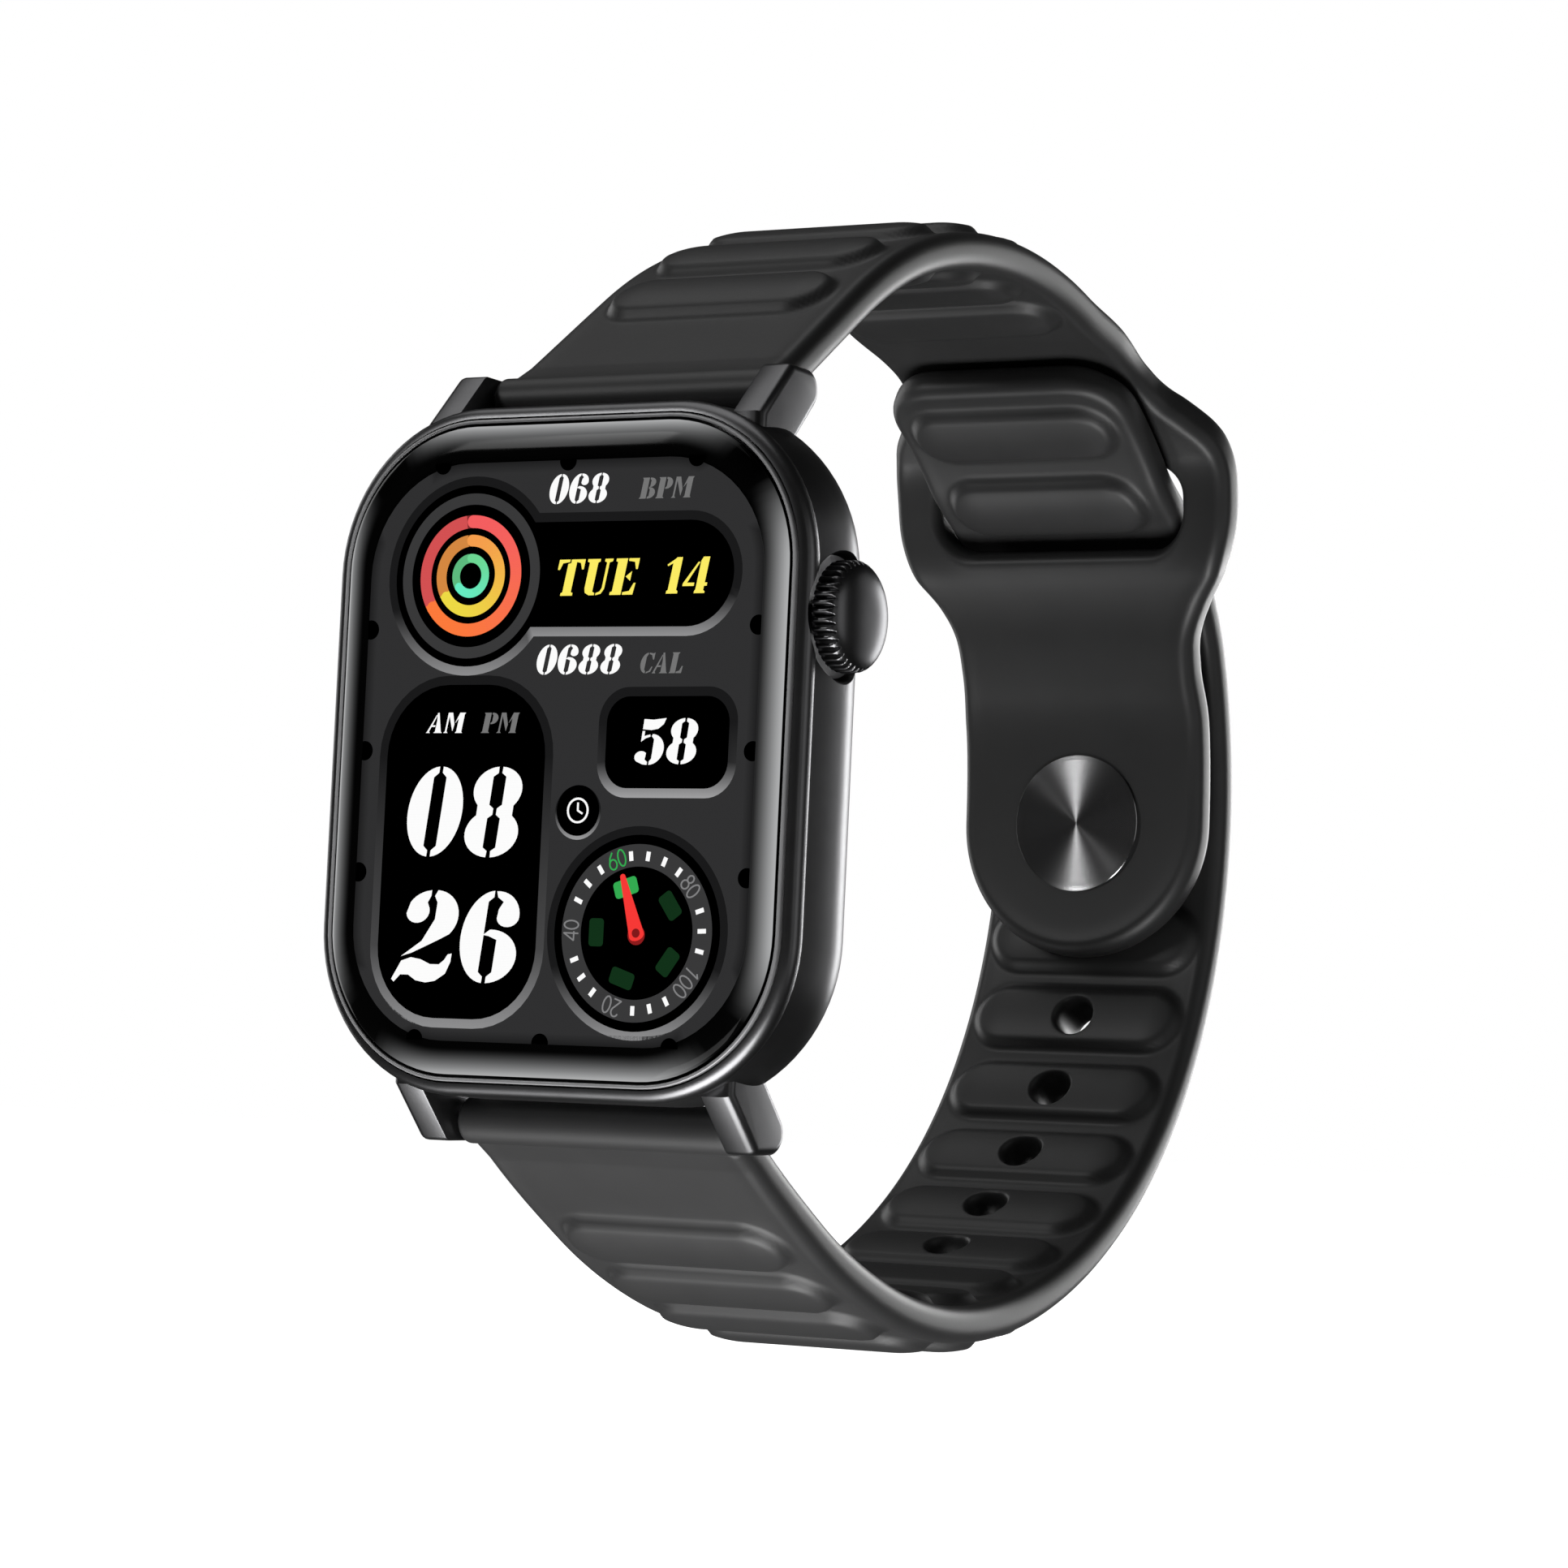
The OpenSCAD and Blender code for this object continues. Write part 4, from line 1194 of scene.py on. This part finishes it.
# Each inner material, and the CAD nodes that are made of it
INNER_SURFACES = (
    # The seals' own black, which also serves as painted shade on the bezel's inner wall
    (fine_surface("black_seal_and_painted_shade", (0.012, 0.012, 0.012), 0, 0.6, 0.08, 2500, 0.01),
     ("glass_gasket", "back_gasket", "crown_seal")),
    (fine_surface("panel_face", (0.012, 0.012, 0.014), 0, 0.2, 0.04, 1500, 0.001), ("display_panel",)),
    (fine_surface("frame_sheet", (0.5, 0.5, 0.52), 1, 0.35, 0.08, 1800, 0.004), ("inner_frame",)),
    (fine_surface("battery_foil", (0.42, 0.43, 0.45), 0.7, 0.42, 0.1, 700, 0.03, tint=0.2), ("battery",)),
    (fine_surface("solder_mask", (0.014, 0.09, 0.035), 0, 0.4, 0.08, 1600, 0.01, tint=0.25),
     ("main_board", "sensor_board")),
    (fine_surface("motor_can", (0.5, 0.5, 0.51), 1, 0.3, 0.08, 2200, 0.003), ("vibration_motor",)),
    (fine_surface("speaker_box", (0.03, 0.03, 0.032), 0, 0.5, 0.08, 2500, 0.01), ("speaker",)),
    (fine_surface("switch_body", (0.05, 0.05, 0.052), 0, 0.5, 0.08, 2500, 0.01), ("push_switch",)),
    (fine_surface("plunger", (0.6, 0.6, 0.58), 0, 0.45, 0.06, 2500, 0.005), ("switch_plunger",)),
    (fine_surface("turned_steel", (0.45, 0.45, 0.46), 1, 0.28, 0.06, 3000, 0.003),
     ("crown_tube", "stem_clip", "crown_stem", "spring_bar_upper", "spring_bar_lower", "back_screws")),
    (fine_surface("back_moulding", (0.026, 0.026, 0.028), 0, 0.42, 0.06, 4200, 0.008), ("back_cover",)),
    (fine_surface("sensor_dome", (0.004, 0.004, 0.006), 0, 0.07, 0.02, 900, 0.0, coat=0.8, specular=0.6),
     ("sensor_window",)),
    (fine_surface("gold_plate", (0.83, 0.6, 0.24), 1, 0.25, 0.06, 3500, 0.002), ("charging_contacts",)),
)
for inner_surface, node_names in INNER_SURFACES:
    for node_name in node_names:
        node_mesh = frame["nodes"][node_name].data
        node_mesh.materials.clear()
        node_mesh.materials.append(inner_surface)
# Seal material, also used as painted shade on the bezel's wall
black_seal_and_painted_shade = INNER_SURFACES[0][0]

# ---------- floor, light and camera ----------


def make_floor():
    """A wide pale floor just under the strap, which neither lights nor shades the watch."""
    level, half = cad_bounds[0][2] / MM - 0.3, 6000
    corners = [(-half, -half, level), (half, -half, level), (half, half, level), (-half, half, level)]
    mesh = bpy.data.meshes.new("floor")
    mesh.from_pydata([tuple(v * MM for v in c) for c in corners], [], [(0, 1, 2, 3)])
    pale = Surface("pale_floor", {"Base Color": (0.8, 0.8, 0.8, 1), "Roughness": 0.9,
                                  "Specular IOR Level": 0.0, "Emission Color": (1, 1, 1, 1),
                                  "Emission Strength": 1.0})
    mesh.materials.append(pale.material)
    floor = add_object("floor", mesh)
    floor.visible_diffuse = floor.visible_glossy = floor.visible_shadow = False


def soft_box(name, place, size_x, size_y, radiance):
    """An area light at a place in millimetres, facing the origin, with an even brightness."""
    light = bpy.data.lights.new(name, "AREA")
    light.shape = "RECTANGLE"
    light.size, light.size_y = size_x * MM, size_y * MM
    light.energy = radiance * math.pi * light.size * light.size_y
    lamp = add_object(name, light)
    lamp.location = Vector(place) * MM
    lamp.rotation_euler = (-Vector(place)).to_track_quat("-Z", "Y").to_euler()
    lamp.visible_camera = False


def make_world():
    """White behind the watch, and a dim room that lights it from all round."""
    world = bpy.data.worlds.new("studio")
    bpy.context.scene.world = world
    world.use_nodes = True
    nodes, links = world.node_tree.nodes, world.node_tree.links
    room, white = nodes["Background"], nodes.new("ShaderNodeBackground")
    for shader, strength in ((room, 0.02), (white, 1.0)):
        shader.inputs["Color"].default_value = (1, 1, 1, 1)
        shader.inputs["Strength"].default_value = strength
    rays = nodes.new("ShaderNodeLightPath")
    mix = nodes.new("ShaderNodeMixShader")
    links.new(rays.outputs["Is Camera Ray"], mix.inputs[0])
    links.new(room.outputs[0], mix.inputs[1])
    links.new(white.outputs[0], mix.inputs[2])
    links.new(mix.outputs[0], nodes["World Output"].inputs["Surface"])


def make_camera():
    """The viewing angle: from the right of the display and a little below it."""
    yaw, pitch, roll = (math.radians(a) for a in (31.465, -3.894, 2.671))
    target, reach = Vector((14.258, -34.0, -1.776)), 335.79
    forward = Vector((-math.sin(yaw) * math.cos(pitch), math.cos(yaw) * math.cos(pitch), -math.sin(pitch)))
    level = Vector((math.cos(yaw), math.sin(yaw), 0))
    right = level * math.cos(roll) + level.cross(forward) * math.sin(roll)
    up = right.cross(forward)
    data = bpy.data.cameras.new("camera")
    data.lens, data.sensor_width = 117.41, 36.0
    data.clip_start, data.clip_end = 0.01, 50.0
    camera = add_object("camera", data)
    turn = Matrix((right, up, -forward)).transposed().to_4x4()
    camera.matrix_world = Matrix.Translation((target - forward * reach) * MM) @ turn
    bpy.context.scene.camera = camera


make_case()
make_lugs()
make_bezel()
make_glass()
make_crown()
make_stud()
make_display()
make_upper_strap()
make_lower_strap()
make_rolls()

make_floor()
make_world()
soft_box("top_box", (-120, -60, 460), 460, 380, 1.25)
soft_box("key_strip", (-250, -370, 215), 50, 140, 20.0)
soft_box("front_low", (-255, -137, -391), 200, 150, 1.3)
soft_box("low_box", (30, -220, -425), 420, 320, 10.5)
soft_box("left_box", (-470, 110, 60), 260, 420, 2.2)
soft_box("right_box", (500, 10, 40), 220, 420, 0.7)
soft_box("right_front", (430, -230, 40), 120, 420, 0.4)
soft_box("back_strip", (-80, 520, 30), 170, 260, 3.5)
soft_box("back_soft", (100, 515, 30), 170, 260, 12.0)
soft_box("back_far", (290, 430, 40), 200, 460, 0.5)
make_camera()
bpy.context.scene.view_settings.view_transform = "Standard"
